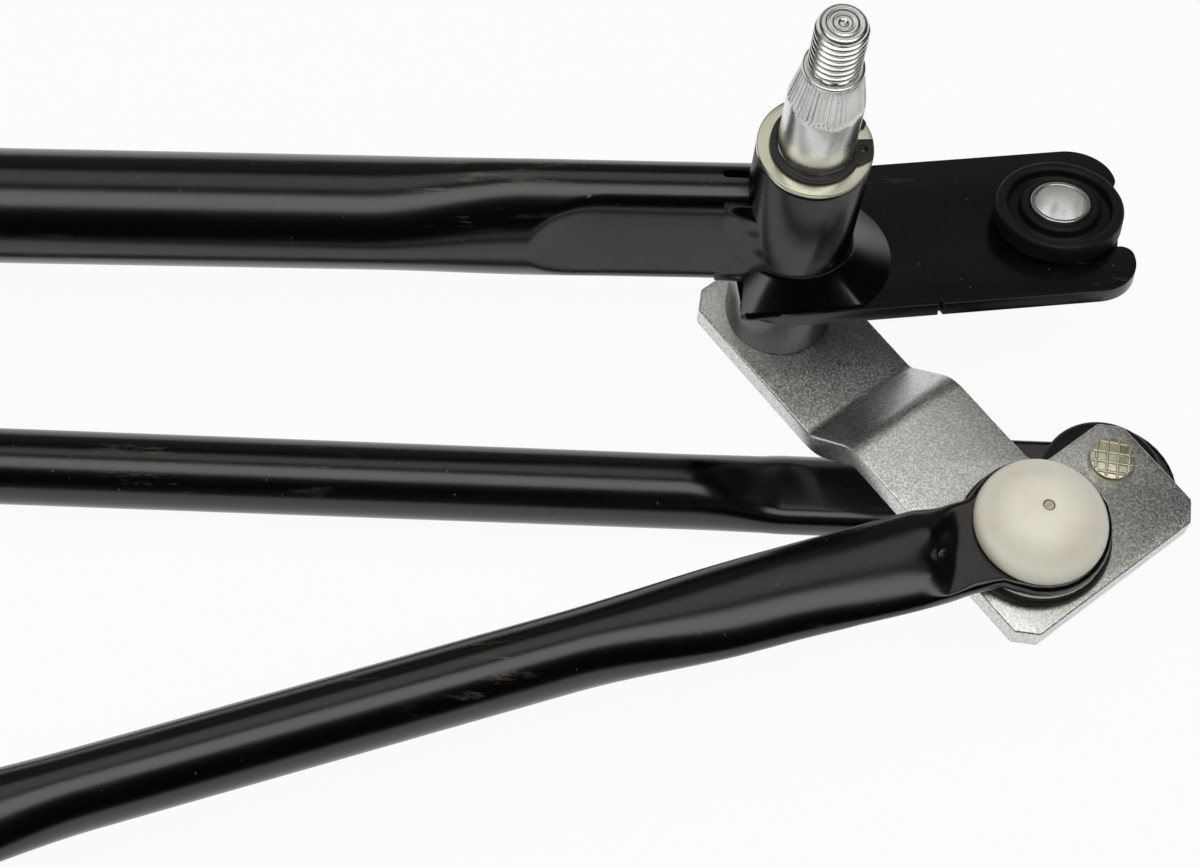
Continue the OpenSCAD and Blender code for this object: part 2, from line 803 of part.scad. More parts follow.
// one section of a link: form lists where its flat ends, where its pressed run starts and ends
// and where it is round; press lists the width, height, side and drop of the run's two ends,
// round the last two of the round tube, and oval is 1 for a run with an oval section
function link_ring(x, length, eye, form, press, round, oval, grow, n) =
  let (d = min(x, length - x), b = ease((d - form[0]) / (form[1] - form[0])))
  let (m = ease((d - form[1]) / (form[2] - form[1])), c = ease((d - form[2]) / (form[3] - form[2])))
  let (s = mix(mix(press[0], press[1], m), [link_d, link_d, round[0], round[1]], c))
  let (w = mix(eye_w(d, eye), s[0], b) + 2 * grow, h = mix(eye_t, s[1], b) + 2 * grow)
  let (r = mix(min(eye_t, w) / 2 - 0.1, mix(s[1] / 2 - 0.4, link_d / 2, c) + grow, b))
  [for (i = [0:n - 1])
    let (a = i * 360 / n, box = round_rect(a, w, h, min(r, h / 2 - 0.02)))
    let (q = mix(box, [w / 2 * cos(a), h / 2 * sin(a)], oval * b))
    [x, q[0] + s[2] * b, q[1] - s[3] * b]];

function form_stations(form, from) = concat(
  [for (k = [from:5]) mix(form[0], form[1], k / 5)],
  [for (k = [1:2]) mix(form[1], form[2], k / 3)],
  [for (k = [0:6]) mix(form[2], form[3], k / 6)]
);

function mirrored_stations(length, half) =
  concat(half, [for (k = [len(half) - 1:-1:0]) length - half[k]]);

function link_stations(length, eye, form) = mirrored_stations(length, concat(
  [for (a = [10, 25, 40, 55, 70, 90]) -eye[1] - eye[0] * cos(a)],
  [neck_from / 2, neck_from],
  form_stations(form, 0)
));

module link_tube(length, eye, form, press, round, oval) {
  n = 28;
  outer = link_stations(length, eye, form);
  inner = mirrored_stations(length, form_stations(form, 3));
  color(steel_black)
    difference() {
      polyhedron(
        points = [for (x = outer) each link_ring(x, length, eye, form, press, round, oval, 0, n)],
        faces = skin_faces(n, len(outer)),
        convexity = 6
      );
      polyhedron(
        points = [
          for (x = inner) each link_ring(x, length, eye, form, press, round, oval, -link_wall, n)
        ],
        faces = skin_faces(n, len(inner)),
        convexity = 4
      );
      for (x = [0, length])
        translate([x, 0, -10])
          cylinder(r = hole_r, h = 20);
    }
}

module on_tie() {
  translate([tie_ball[0], tie_ball[1], tie_eye_z])
    rotate([0, 0, 180])
      children();
}

module on_drive() {
  translate([drive_ball[0], drive_ball[1], drive_eye_z])
    rotate([0, 0, drive_angle])
      children();
}

module tie_link_tube() {
  pressed = [tie_press_w, tie_press_h, tie_press_side, tie_press_drop];
  on_tie()
    link_tube(
      pivot_spacing,
      [tie_eye_r, tie_eye_out],
      [tie_flat, tie_form, tie_press, tie_round],
      [pressed, pressed],
      [tie_side, tie_drop],
      0
    );
}

module drive_link_tube() {
  on_drive()
    link_tube(
      drive_length,
      [drive_eye_r, 0],
      [drive_flat, drive_form, drive_oval, drive_round],
      [
        [drive_press_w, drive_press_h, drive_press_side, drive_press_drop],
        [drive_oval_w, drive_oval_h, drive_oval_side, drive_oval_drop]
      ],
      [drive_side, drive_drop],
      1
    );
}

module at_left() {
  translate([-pivot_spacing, 0, 0])
    children();
}

module mirrored_left() {
  at_left()
    mirror([1, 0, 0])
      children();
}

module down() {
  rotate([180, 0, 0])
    children();
}

module upper_bush() {
  bush(housing_top - bush_length - 0.4);
}

module lower_bush() {
  bush(housing_gap + 0.8);
}

module drive_ball_stud() {
  translate([drive_ball[0], drive_ball[1], lever_step])
    ball_stud();
}

module right_tie_ball_stud() {
  translate([tie_ball[0], tie_ball[1], head_under])
    down()
      ball_stud();
}

module left_tie_ball_stud() {
  at_left()
    right_tie_ball_stud();
}

module tie_right_socket() {
  on_tie()
    down()
      socket(tie_under_d);
}

module tie_left_socket() {
  at_left()
    tie_right_socket();
}

module tie_right_seal() {
  on_tie()
    down()
      seal(tie_seal_d);
}

module tie_left_seal() {
  at_left()
    tie_right_seal();
}

module drive_lever_socket() {
  on_drive()
    socket();
}

module drive_lever_seal() {
  on_drive()
    seal();
}

module drive_motor_socket() {
  on_drive()
    translate([drive_length, 0, 0])
      down()
        socket();
}

module drive_motor_seal() {
  on_drive()
    translate([drive_length, 0, 0])
      down()
        seal();
}

translate(-origin) {
  frame_tube();
  motor_bracket();
  housing();  // right_pivot_housing
  at_left() housing();  // left_pivot_housing
  mount_bracket();  // right_mount_bracket
  mirrored_left() mount_bracket();  // left_mount_bracket
  grommet();  // right_grommet
  mirrored_left() grommet();  // left_grommet
  grommet_sleeve();  // right_grommet_sleeve
  mirrored_left() grommet_sleeve();  // left_grommet_sleeve
  upper_bush();  // right_upper_bush
  lower_bush();  // right_lower_bush
  at_left() upper_bush();  // left_upper_bush
  at_left() lower_bush();  // left_lower_bush
  spindle();  // right_spindle
  at_left() spindle();  // left_spindle
  washer();  // right_washer
  at_left() washer();  // left_washer
  circlip();  // right_circlip
  at_left() circlip();  // left_circlip
  right_lever();
  left_lever();
  drive_ball_stud();
  right_tie_ball_stud();
  left_tie_ball_stud();
  tie_link_tube();
  tie_right_socket();
  tie_left_socket();
  tie_right_seal();
  tie_left_seal();
  drive_link_tube();
  drive_lever_socket();
  drive_motor_socket();
  drive_lever_seal();
  drive_motor_seal();
}
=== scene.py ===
import math

import bmesh
import bpy
from mathutils import Matrix, Vector


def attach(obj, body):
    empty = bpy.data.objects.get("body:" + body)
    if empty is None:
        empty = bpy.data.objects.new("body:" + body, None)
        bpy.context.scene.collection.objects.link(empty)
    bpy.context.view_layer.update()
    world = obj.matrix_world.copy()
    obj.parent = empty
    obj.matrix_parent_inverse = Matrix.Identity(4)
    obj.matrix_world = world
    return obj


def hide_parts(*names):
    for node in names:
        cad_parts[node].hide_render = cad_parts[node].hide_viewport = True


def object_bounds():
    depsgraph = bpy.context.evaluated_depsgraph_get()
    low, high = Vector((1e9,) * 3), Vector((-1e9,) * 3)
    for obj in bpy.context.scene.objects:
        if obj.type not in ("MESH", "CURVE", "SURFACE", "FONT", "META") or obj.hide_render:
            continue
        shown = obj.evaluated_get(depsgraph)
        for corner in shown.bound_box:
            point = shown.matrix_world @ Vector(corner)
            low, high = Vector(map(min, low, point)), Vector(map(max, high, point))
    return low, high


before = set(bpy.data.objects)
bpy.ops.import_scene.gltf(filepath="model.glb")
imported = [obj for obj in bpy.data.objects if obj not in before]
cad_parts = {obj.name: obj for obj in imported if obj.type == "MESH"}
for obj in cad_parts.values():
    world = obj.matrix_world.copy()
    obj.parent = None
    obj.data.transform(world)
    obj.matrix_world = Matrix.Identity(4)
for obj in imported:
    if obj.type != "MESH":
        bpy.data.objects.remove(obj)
cad_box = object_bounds()

# Pieces are shaped in millimetres about the right pivot, where its axis meets the
# top of the lever, and then settled into the shared frame in metres.
MM = 0.001
PIVOT = Vector((-54.48466872, -10.45887443, -19.61403678))
SPAN = 640.0
LEAN = math.radians(15.6)
YAW = math.radians(7.8)
HOUSING_R = 11.0
TUBE_R = 11.0
TUBE_Z = 34.65
LEVER_T = 5.3
LEVER_STEP = 11.2
LEVER_TURN = math.radians(-51.3)
LEVER_BACK, LEVER_HALF, LEVER_CHAMFER = -13.0, 13.5, 3.6
STEP_FROM, STEP_TO = 26.7, 36.8
MOUNT_X, MOUNT_Y = 55.4, 3.5
DRIVE_LENGTH = 280.0
BALL_R, BALL_Z = 6.5, 6.3


# Camera

PHOTO_WIDTH_PX = 1200.0
FOCAL_PX = 2576.1688
SENSOR_MM = 36.0
CAMERA_ANGLES = (63.0612, 6.7181, -5.0846)
CAMERA_FROM_PIVOT = Vector((-57.0891, -264.0047, 461.2742))


def add_camera():
    elevation, roll, heading = (math.radians(a) for a in CAMERA_ANGLES)
    look = Vector((0, math.cos(elevation), -math.sin(elevation)))
    across = Vector((1, 0, 0))
    down = look.cross(across)
    across, down = (
        across * math.cos(roll) - down * math.sin(roll),
        across * math.sin(roll) + down * math.cos(roll),
    )
    swing = Matrix.Rotation(heading, 3, "Z")
    axes = [swing @ v for v in (across, -down, -look)]
    lens = bpy.data.cameras.new("studio_camera")
    lens.sensor_fit = "HORIZONTAL"
    lens.sensor_width = SENSOR_MM
    lens.lens = FOCAL_PX * SENSOR_MM / PHOTO_WIDTH_PX
    lens.clip_start = 0.01
    lens.clip_end = 50.0
    camera = bpy.data.objects.new("studio_camera", lens)
    camera.matrix_world = Matrix.Translation(
        (PIVOT + CAMERA_FROM_PIVOT) * MM
    ) @ Matrix(axes).transposed().to_4x4()
    bpy.context.collection.objects.link(camera)
    bpy.context.scene.camera = camera


add_camera()
bpy.context.scene.view_settings.view_transform = "Standard"


# Materials

class Value:
    """A socket of a finish, with arithmetic that adds Math nodes."""

    def __init__(self, finish, socket):
        self.finish = finish
        self.socket = socket

    def sum(self, operation, a, b):
        return self.finish.node("ShaderNodeMath", {"operation": operation}, {0: a, 1: b})

    def __add__(self, other):
        return self.sum("ADD", self, other)

    def __sub__(self, other):
        return self.sum("SUBTRACT", self, other)

    def __rsub__(self, other):
        return self.sum("SUBTRACT", other, self)

    def __mul__(self, other):
        return self.sum("MULTIPLY", self, other)

    __radd__ = __add__
    __rmul__ = __mul__


class Finish:
    """One material, built from nodes on Object coordinates."""

    def __init__(self, name, **constants):
        self.material = bpy.data.materials.new(name)
        self.material.use_nodes = True
        self.tree = self.material.node_tree
        self.shader = self.tree.nodes["Principled BSDF"]
        for key, value in constants.items():
            label = key.replace("_", " ").title().replace("Ior", "IOR")
            self.shader.inputs[label].default_value = value
        self.where = self.node("ShaderNodeTexCoord", out="Object")

    def node(self, kind, settings=None, sockets=None, out=0):
        made = self.tree.nodes.new(kind)
        for key, value in (settings or {}).items():
            setattr(made, key, value)
        for key, value in (sockets or {}).items():
            if isinstance(value, Value):
                self.tree.links.new(value.socket, made.inputs[key])
            else:
                made.inputs[key].default_value = value
        return Value(self, made.outputs[out])

    def feed(self, name, value):
        self.tree.links.new(value.socket, self.shader.inputs[name])

    def stretched(self, x, y, z, turn=0.0):
        return self.node("ShaderNodeMapping", None, {
            "Vector": self.where, "Scale": (x, y, z), "Rotation": (0.0, 0.0, turn)})

    def noise(self, scale, detail=3.0, rough=0.55, where=None):
        return self.node("ShaderNodeTexNoise", None, {
            "Vector": where or self.where, "Scale": scale, "Detail": detail, "Roughness": rough})

    def cells(self, scale, out="Distance"):
        return self.node("ShaderNodeTexVoronoi", None, {"Vector": self.where, "Scale": scale}, out)

    def between(self, value, low, high, start=0.0, end=1.0):
        return self.node("ShaderNodeMapRange", {"clamp": True}, {
            "Value": value, "From Min": low, "From Max": high, "To Min": start, "To Max": end})

    def spot(self, place, wide, deep):
        """One inside a soft spot along the tubes, falling to zero at its edge."""
        kind = "ShaderNodeVectorMath"
        away = self.node(kind, {"operation": "SUBTRACT"}, {0: self.where, 1: place})
        away = self.node(kind, {"operation": "DIVIDE"}, {0: away, 1: (wide, deep, deep)})
        far = self.node(kind, {"operation": "LENGTH"}, {0: away}, "Value")
        return self.between(far, 1.0, 0.3)

    def colour(self, factor, a, b):
        return self.node("ShaderNodeMix", {"data_type": "RGBA"}, {0: factor, 6: a, 7: b}, 2)

    def grey(self, picked):
        return self.node("ShaderNodeSeparateColor", None, {0: picked}, "Red")

    def specks(self, scale, size, share):
        """Round specks in the few cells whose random value is high."""
        near = self.between(self.cells(scale), *size)
        return near * self.between(self.grey(self.cells(scale, "Color")), *share)

    def bump(self, height, strength, distance):
        self.feed("Normal", self.node("ShaderNodeBump", None, {
            "Strength": strength, "Distance": distance, "Height": height}))


def black_paint():
    f = Finish("black_satin_paint", ior=1.6)
    peel = f.noise(900.0, 2.0)
    cloud = f.noise(55.0, 4.0)
    rub = f.between(f.noise(1.0, 5.0, 0.7, f.stretched(60.0, 420.0, 420.0, 0.05)), 0.55, 0.66)
    patch = f.between(f.noise(24.0, 2.0), 0.58, 0.72)
    for place in ((-0.1192, -0.0150, 0.0257), (-0.1790, -0.0516, -0.0186)):
        patch = patch + f.spot(place, 0.014, 0.008)
    scuff = rub * patch
    dust = f.specks(620.0, (0.16, 0.05), (0.93, 0.96))
    chip = f.spot((-0.0959, -0.0131, 0.0254), 0.0020, 0.0014)
    bare = f.between(chip + f.noise(1300.0, 3.0) * 0.5, 0.62, 0.70)
    tone = f.colour(cloud, (0.0008, 0.0008, 0.0010, 1), (0.0020, 0.0019, 0.0017, 1))
    tone = f.colour(scuff * 0.6, tone, (0.130, 0.112, 0.085, 1))
    tone = f.colour(dust * 0.6, tone, (0.14, 0.135, 0.12, 1))
    tone = f.colour(bare * 0.9, tone, (0.150, 0.122, 0.085, 1))
    lobe = f.spot((0.0150, -0.0132, 0.0022), 0.0075, 0.0026)
    worn = f.between(lobe + f.noise(700.0, 3.0) * 0.4, 0.55, 0.72)
    tone = f.colour(worn * 0.9, tone, (0.52, 0.50, 0.44, 1))
    f.feed("Base Color", tone)
    f.feed("Roughness", 0.19 + cloud * 0.08 + scuff * 0.25 + dust * 0.3 + bare * 0.3)
    f.bump(peel * 0.6 + f.noise(2600.0, 2.0) * 0.4 - bare * 0.6, 0.08, 0.00012)
    return f.material


def zinc_plate():
    f = Finish("bright_zinc_plate", metallic=1.0)
    crystal = f.grey(f.cells(3800.0, "Color"))
    fine = f.noise(5400.0, 3.0, 0.68)
    cloud = f.noise(60.0, 4.0)
    pit = f.specks(900.0, (0.10, 0.03), (0.90, 0.94))
    glint = f.between(crystal, 0.86, 0.97)
    tone = f.colour(f.between(crystal * 0.45 + fine * 0.55, 0.30, 0.70),
                    (0.45, 0.455, 0.44, 1), (0.93, 0.935, 0.91, 1))
    tone = f.colour(cloud * 0.25, tone, (0.56, 0.565, 0.55, 1))
    tone = f.colour(glint * 0.8, tone, (0.98, 0.98, 0.96, 1))
    tone = f.colour(pit * 0.8, tone, (0.10, 0.10, 0.09, 1))
    f.feed("Base Color", tone)
    f.feed("Roughness", 0.31 + crystal * 0.12 + cloud * 0.06 + pit * 0.2)
    f.bump(crystal * 0.4 + fine * 0.6, 0.36, 0.00006)
    return f.material


def zinc_turned():
    f = Finish("turned_zinc", metallic=1.0)
    rings = f.noise(1.0, 3.0, 0.6, f.stretched(60.0, 60.0, 4200.0))
    fine = f.noise(3600.0, 3.0, 0.6)
    cloud = f.noise(150.0, 4.0)
    speck = f.specks(420.0, (0.13, 0.06), (0.86, 0.90))
    tone = f.colour(f.between(rings * 0.4 + fine * 0.6, 0.3, 0.7),
                    (0.66, 0.66, 0.65, 1), (0.90, 0.90, 0.88, 1))
    tone = f.colour(f.between(cloud, 0.48, 0.70) * 0.5, tone, (0.55, 0.56, 0.50, 1))
    tone = f.colour(speck * 0.8, tone, (0.06, 0.06, 0.055, 1))
    f.feed("Base Color", tone)
    f.feed("Roughness", 0.17 + fine * 0.14 + cloud * 0.10)
    f.bump(rings * 0.5 + fine * 0.5, 0.10, 0.00008)
    return f.material


def zinc_bright():
    f = Finish("bright_yellowish_zinc", metallic=1.0)
    fine = f.noise(3000.0, 3.0, 0.6)
    cloud = f.noise(210.0, 3.0)
    pit = f.specks(760.0, (0.12, 0.04), (0.90, 0.94))
    tone = f.colour(fine, (0.54, 0.54, 0.43, 1), (0.68, 0.68, 0.57, 1))
    tone = f.colour(f.between(cloud, 0.45, 0.70) * 0.5, tone, (0.58, 0.57, 0.39, 1))
    tone = f.colour(pit * 0.8, tone, (0.10, 0.10, 0.08, 1))
    f.feed("Base Color", tone)
    f.feed("Roughness", 0.16 + fine * 0.10 + cloud * 0.08)
    f.bump(fine, 0.06, 0.00006)
    return f.material


def white_nylon():
    f = Finish("natural_white_nylon", ior=1.53, subsurface_weight=0.18)
    f.shader.inputs["Subsurface Radius"].default_value = (0.003, 0.0026, 0.002)
    f.shader.inputs["Subsurface Scale"].default_value = 1.0
    stain = f.between(f.noise(95.0, 3.0), 0.52, 0.72)
    fine = f.noise(900.0, 3.0)
    tone = f.colour(fine * 0.5, (0.91, 0.885, 0.78, 1), (0.88, 0.85, 0.73, 1))
    tone = f.colour(stain * 0.35, tone, (0.70, 0.62, 0.44, 1))
    f.feed("Base Color", tone)
    f.feed("Roughness", 0.34 + fine * 0.12)
    f.bump(fine, 0.06, 0.0002)
    return f.material


def black_rubber():
    f = Finish("black_rubber", ior=1.38)
    fine = f.noise(2600.0, 3.0, 0.6)
    bloom = f.noise(160.0, 3.0)
    tone = f.colour(f.between(bloom, 0.4, 0.75),
                    (0.0030, 0.0030, 0.0030, 1), (0.0085, 0.0080, 0.0075, 1))
    f.feed("Base Color", tone)
    f.feed("Roughness", 0.46 + fine * 0.2)
    f.bump(fine, 0.12, 0.00015)
    return f.material


def phosphate():
    f = Finish("phosphated_spring", metallic=0.55)
    fine = f.noise(3000.0, 3.0, 0.6)
    tone = f.colour(fine, (0.022, 0.022, 0.023, 1), (0.06, 0.058, 0.055, 1))
    f.feed("Base Color", tone)
    f.feed("Roughness", 0.38 + fine * 0.2)
    f.bump(fine, 0.15, 0.0001)
    return f.material


def bronze():
    f = Finish("sintered_bronze", metallic=1.0)
    pores = f.cells(2200.0)
    tone = f.colour(f.between(pores, 0.1, 0.5),
                    (0.22, 0.13, 0.06, 1), (0.62, 0.42, 0.22, 1))
    f.feed("Base Color", tone)
    f.feed("Roughness", 0.38 + pores * 0.2)
    f.bump(pores, 0.2, 0.0001)
    return f.material


def rivet_steel():
    f = Finish("yellowed_rivet_steel", metallic=1.0)
    fine = f.noise(2400.0, 3.0, 0.6)
    patch = f.noise(500.0, 2.0)
    tone = f.colour(patch, (0.64, 0.62, 0.46, 1), (0.88, 0.87, 0.72, 1))
    tone = f.colour(fine * 0.35, tone, (0.40, 0.38, 0.26, 1))
    f.feed("Base Color", tone)
    f.feed("Roughness", 0.34 + fine * 0.22)
    f.bump(fine, 0.2, 0.0001)
    return f.material


PAINT = black_paint()
ZINC = zinc_plate()
TURNED = zinc_turned()
BRIGHT = zinc_bright()
NYLON = white_nylon()
RUBBER = black_rubber()
PHOSPHATE = phosphate()
BRONZE = bronze()
RIVET = rivet_steel()


# Modelling helpers

def clear_selection():
    if bpy.context.object and bpy.context.object.mode != "OBJECT":
        bpy.ops.object.mode_set(mode="OBJECT")
    bpy.ops.object.select_all(action="DESELECT")


def only(piece):
    clear_selection()
    piece.select_set(True)
    bpy.context.view_layer.objects.active = piece


def start_ring(name, points):
    """A loop of edges, with its points moved to where they belong."""
    clear_selection()
    bpy.ops.mesh.primitive_circle_add(vertices=len(points), radius=1.0, fill_type="NOTHING")
    piece = bpy.context.object
    piece.name = piece.data.name = name
    for v, p in zip(piece.data.vertices, points):
        v.co = p
    bpy.ops.object.mode_set(mode="EDIT")
    bpy.ops.mesh.select_all(action="SELECT")
    return piece


def next_ring(piece, points):
    """Extrudes the picked loop and moves the new one to its points."""
    bpy.ops.mesh.extrude_region_move()
    shape = bmesh.from_edit_mesh(piece.data)
    shape.verts.ensure_lookup_table()
    for v, p in zip(shape.verts[len(shape.verts) - len(points):], points):
        v.co = p
    bmesh.update_edit_mesh(piece.data)


def close_up(piece, fill=True):
    bpy.ops.mesh.select_all(action="SELECT")
    bpy.ops.mesh.remove_doubles(threshold=0.0005)
    if fill:
        bpy.ops.mesh.select_all(action="DESELECT")
        bpy.ops.mesh.select_non_manifold(extend=False)
        bpy.ops.mesh.fill_holes(sides=0)
    bpy.ops.mesh.select_all(action="SELECT")
    bpy.ops.mesh.normals_make_consistent(inside=False)
    bpy.ops.object.mode_set(mode="OBJECT")


def circle_points(r, z, n):
    turns = [2 * math.pi * k / n for k in range(n)]
    return [Vector((r * math.cos(a), r * math.sin(a), z)) for a in turns]


def turned(name, profile, n=96, ring=False):
    """A turned piece: loops of the radii and heights of its profile."""
    piece = start_ring(name, circle_points(*profile[0], n))
    for r, z in profile[1:] + (profile[:1] if ring else []):
        next_ring(piece, circle_points(max(r, 1e-5), z, n))
    close_up(piece, fill=not ring)
    return piece


def apply(piece, kind, **settings):
    only(piece)
    modifier = piece.modifiers.new(kind.lower(), kind)
    for key, value in settings.items():
        setattr(modifier, key, value)
    bpy.ops.object.modifier_apply(modifier=modifier.name)


def bevel(piece, width, segments=3, angle=30.0):
    apply(piece, "BEVEL", width=width, segments=segments, limit_method="ANGLE",
          angle_limit=math.radians(angle))


def shade(piece, angle=38.0):
    only(piece)
    bpy.ops.object.shade_smooth_by_angle(angle=math.radians(angle))


def cut(piece, cutter):
    apply(piece, "BOOLEAN", operation="DIFFERENCE", object=cutter, solver="EXACT")
    bpy.data.objects.remove(cutter)


SLIVER = 0.002


def weed(piece):
    """Splits a cut piece into triangles and takes out slivers, fins and pinholes."""
    only(piece)
    bpy.ops.object.mode_set(mode="EDIT")
    bpy.ops.mesh.select_all(action="SELECT")
    bpy.ops.mesh.remove_doubles(threshold=SLIVER)
    bpy.ops.mesh.dissolve_degenerate(threshold=SLIVER)
    bpy.ops.mesh.select_all(action="SELECT")
    bpy.ops.mesh.quads_convert_to_tris(quad_method="BEAUTY", ngon_method="CLIP")
    bpy.ops.mesh.select_all(action="SELECT")
    bpy.ops.mesh.dissolve_degenerate(threshold=SLIVER)
    bpy.ops.mesh.select_all(action="DESELECT")
    shape = bmesh.from_edit_mesh(piece.data)
    for face in shape.faces:
        users = [len(edge.link_faces) for edge in face.edges]
        if min(users) == 1 and max(users) > 2:
            face.select_set(True)
    bpy.ops.mesh.delete(type="FACE")
    bpy.ops.mesh.select_non_manifold(extend=False)
    bpy.ops.mesh.fill_holes(sides=0)
    bpy.ops.object.mode_set(mode="OBJECT")


def flat_sheet(name, outline):
    """One flat face with the given outline."""
    clear_selection()
    bpy.ops.mesh.primitive_circle_add(vertices=len(outline), radius=1.0, fill_type="NGON")
    piece = bpy.context.object
    piece.name = piece.data.name = name
    for v, (x, y) in zip(piece.data.vertices, outline):
        v.co = (x, y, 0.0)
    return piece


def moved(piece, matrix):
    piece.data.transform(matrix)
    if matrix.determinant() < 0:
        piece.data.flip_normals()
    return piece


def twin(piece, name, matrix):
    """A copy with its own mesh, at another place."""
    copy = piece.copy()
    copy.data = piece.data.copy()
    copy.name = copy.data.name = name
    bpy.context.collection.objects.link(copy)
    return moved(copy, matrix)


def settle(piece, body, slot, finish, *nodes):
    """Moves a finished piece from millimetres into the frame, on its body."""
    piece.data.transform(Matrix.Translation(PIVOT * MM) @ Matrix.Scale(MM, 4))
    piece.data.materials.clear()
    piece.data.materials.append(finish)
    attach(piece, body)
    if nodes:
        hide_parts(*nodes)


def shift(x, y, z):
    return Matrix.Translation((x, y, z))


def about_z(angle):
    return Matrix.Rotation(angle, 4, "Z")


LEFT = shift(-SPAN, 0, 0)
LEFT_MIRROR = LEFT @ Matrix.Scale(-1, 4, (1, 0, 0))
UPSIDE_DOWN = Matrix.Rotation(math.pi, 4, "X")
IN_PLATE = shift(0, 0, 22.0) @ about_z(YAW) @ Matrix.Rotation(-LEAN, 4, "X")
IN_MOUNT = IN_PLATE @ shift(MOUNT_X, MOUNT_Y, -1.5)
TIE_BALL = about_z(LEVER_TURN) @ Vector((69.8, 26.3, 0))
DRIVE_BALL = about_z(LEVER_TURN) @ Vector((73.1, 2.2, 0))
TIE_EYE_Z = LEVER_STEP - LEVER_T - 5.8
DRIVE_EYE_Z = LEVER_STEP + 5.8
ON_TIE = shift(TIE_BALL.x, TIE_BALL.y, TIE_EYE_Z) @ about_z(math.pi)
ON_DRIVE = shift(DRIVE_BALL.x, DRIVE_BALL.y, DRIVE_EYE_Z) @ about_z(math.radians(198.9))


def mix(a, b, t):
    return a + (b - a) * t


def ease(t):
    t = min(1.0, max(0.0, t))
    return t * t * (3 - 2 * t)


def arc(x, y, r, start, end, n):
    turns = [math.radians(mix(start, end, k / n)) for k in range(n + 1)]
    return [(x + r * math.cos(a), y + r * math.sin(a)) for a in turns]


def boxed(w, h, r, n):
    """A rounded box section with its points spread evenly along its edge."""
    a, b = w / 2 - r, h / 2 - r
    quarter = math.pi * r / 2
    total = 4 * (a + b + quarter)
    points = []
    for k in range(n):
        t = total * (k + 0.5) / n
        side, flip = math.copysign(1, total / 2 - t), 1
        t = t if side > 0 else total - t
        if t > total / 4:
            t, flip = total / 2 - t, -1
        if t < b:
            y, z = w / 2, t
        elif t < b + quarter:
            turn = (t - b) / r
            y, z = a + r * math.cos(turn), b + r * math.sin(turn)
        else:
            y, z = a - (t - b - quarter), h / 2
        points.append((y * flip, z * side))
    return points


def lower_of(a, b, soft):
    """The smaller of two values, rounded where they meet."""
    h = max(soft - abs(a - b), 0.0) / soft
    return min(a, b) - h * h * soft * 0.25


# Frame tube

def tube_y(x):
    s = abs(x + SPAN / 2) - 60.0
    return math.tan(math.radians(1.5)) * ((s + math.sqrt(s * s + 64.0)) / 2 - 260.0)


SQUEEZE_FROM, SQUEEZE_LENGTH = -84.0, 32.0
FLAT_FROM, FLAT_LENGTH, FLAT_HALF = -53.0, 15.0, 6.0


def tube_section(x, n=144):
    """The round tube, squeezed to an oval and then pressed between two leaning flats."""
    squeeze = ease((x - SQUEEZE_FROM) / SQUEEZE_LENGTH)
    wide, high, low = (mix(TUBE_R, oval, squeeze) for oval in (8.6, 12.6, 13.0))
    t = min(max((x - FLAT_FROM) / FLAT_LENGTH, 0.0), 1.0)
    half, y0 = mix(9.0, FLAT_HALF, 1 - (1 - t) ** 2), tube_y(x)
    points = []
    for k in range(n):
        a = 2 * math.pi * k / n
        p, q = wide * math.cos(a), high * math.sin(a)
        if a > math.pi:
            q = -low * abs(math.sin(a)) ** mix(1.0, 0.78, squeeze)
        if t > 0:
            p = math.copysign(lower_of(abs(p), half, mix(0.3, 1.6, t)), p)
        y = p * math.cos(LEAN) + q * math.sin(LEAN) + y0
        z = q * math.cos(LEAN) - p * math.sin(LEAN) + TUBE_Z
        end = -math.sqrt(10.7 ** 2 - min(y * y, 60.0))
        points.append(Vector((x if x < -10.0 else end, y, z)))
    return points


def frame_tube():
    runs = [-320.0, -296.0, -284.0, -276.0, -270.0, -264.0, -260.0, -256.0, -250.0, -244.0,
            -236.0, -224.0, -200.0, -150.0, -100.0, -86.0]
    runs += [-84.0 + 2.0 * k for k in range(15)] + [-55.0 + 0.5 * k for k in range(36)]
    runs += [-36.0, -32.0, -26.0, -20.0, -15.0, -8.0]
    piece = start_ring("frame_tube_formed", tube_section(runs[0]))
    for x in runs[1:]:
        next_ring(piece, tube_section(x))
    bpy.ops.mesh.select_all(action="SELECT")
    bpy.ops.mesh.duplicate_move()
    bpy.ops.transform.resize(value=(-1, 1, 1), center_override=(-SPAN / 2, 0, 0))
    close_up(piece)
    for side in (1, -1):
        outline = arc(-14.9, 2.35, 0.95, 90, 270, 12) + [(-6.0, 1.4), (-6.0, 3.3)]
        gap = flat_sheet("gap", outline)
        apply(gap, "SOLIDIFY", thickness=9.0, offset=0.0)
        moved(gap, shift(0, 0, 47.0))
        if side < 0:
            moved(gap, LEFT_MIRROR)
        cut(piece, gap)
    weed(piece)
    shade(piece, 50)
    settle(piece, "frame", "black_painted_steel", PAINT, "frame_tube")


def ripple(u, v):
    """Uneven lumps of a weld, from a few waves that don't line up."""
    return (math.sin(u * 5.1 + 2.0 * math.sin(v * 3.3)) * math.sin(v * 7.7 + 1.3)
            + 0.7 * math.sin(u * 11.3 - v * 5.9) + 0.5 * math.sin(u * 2.3 + v * 13.0))


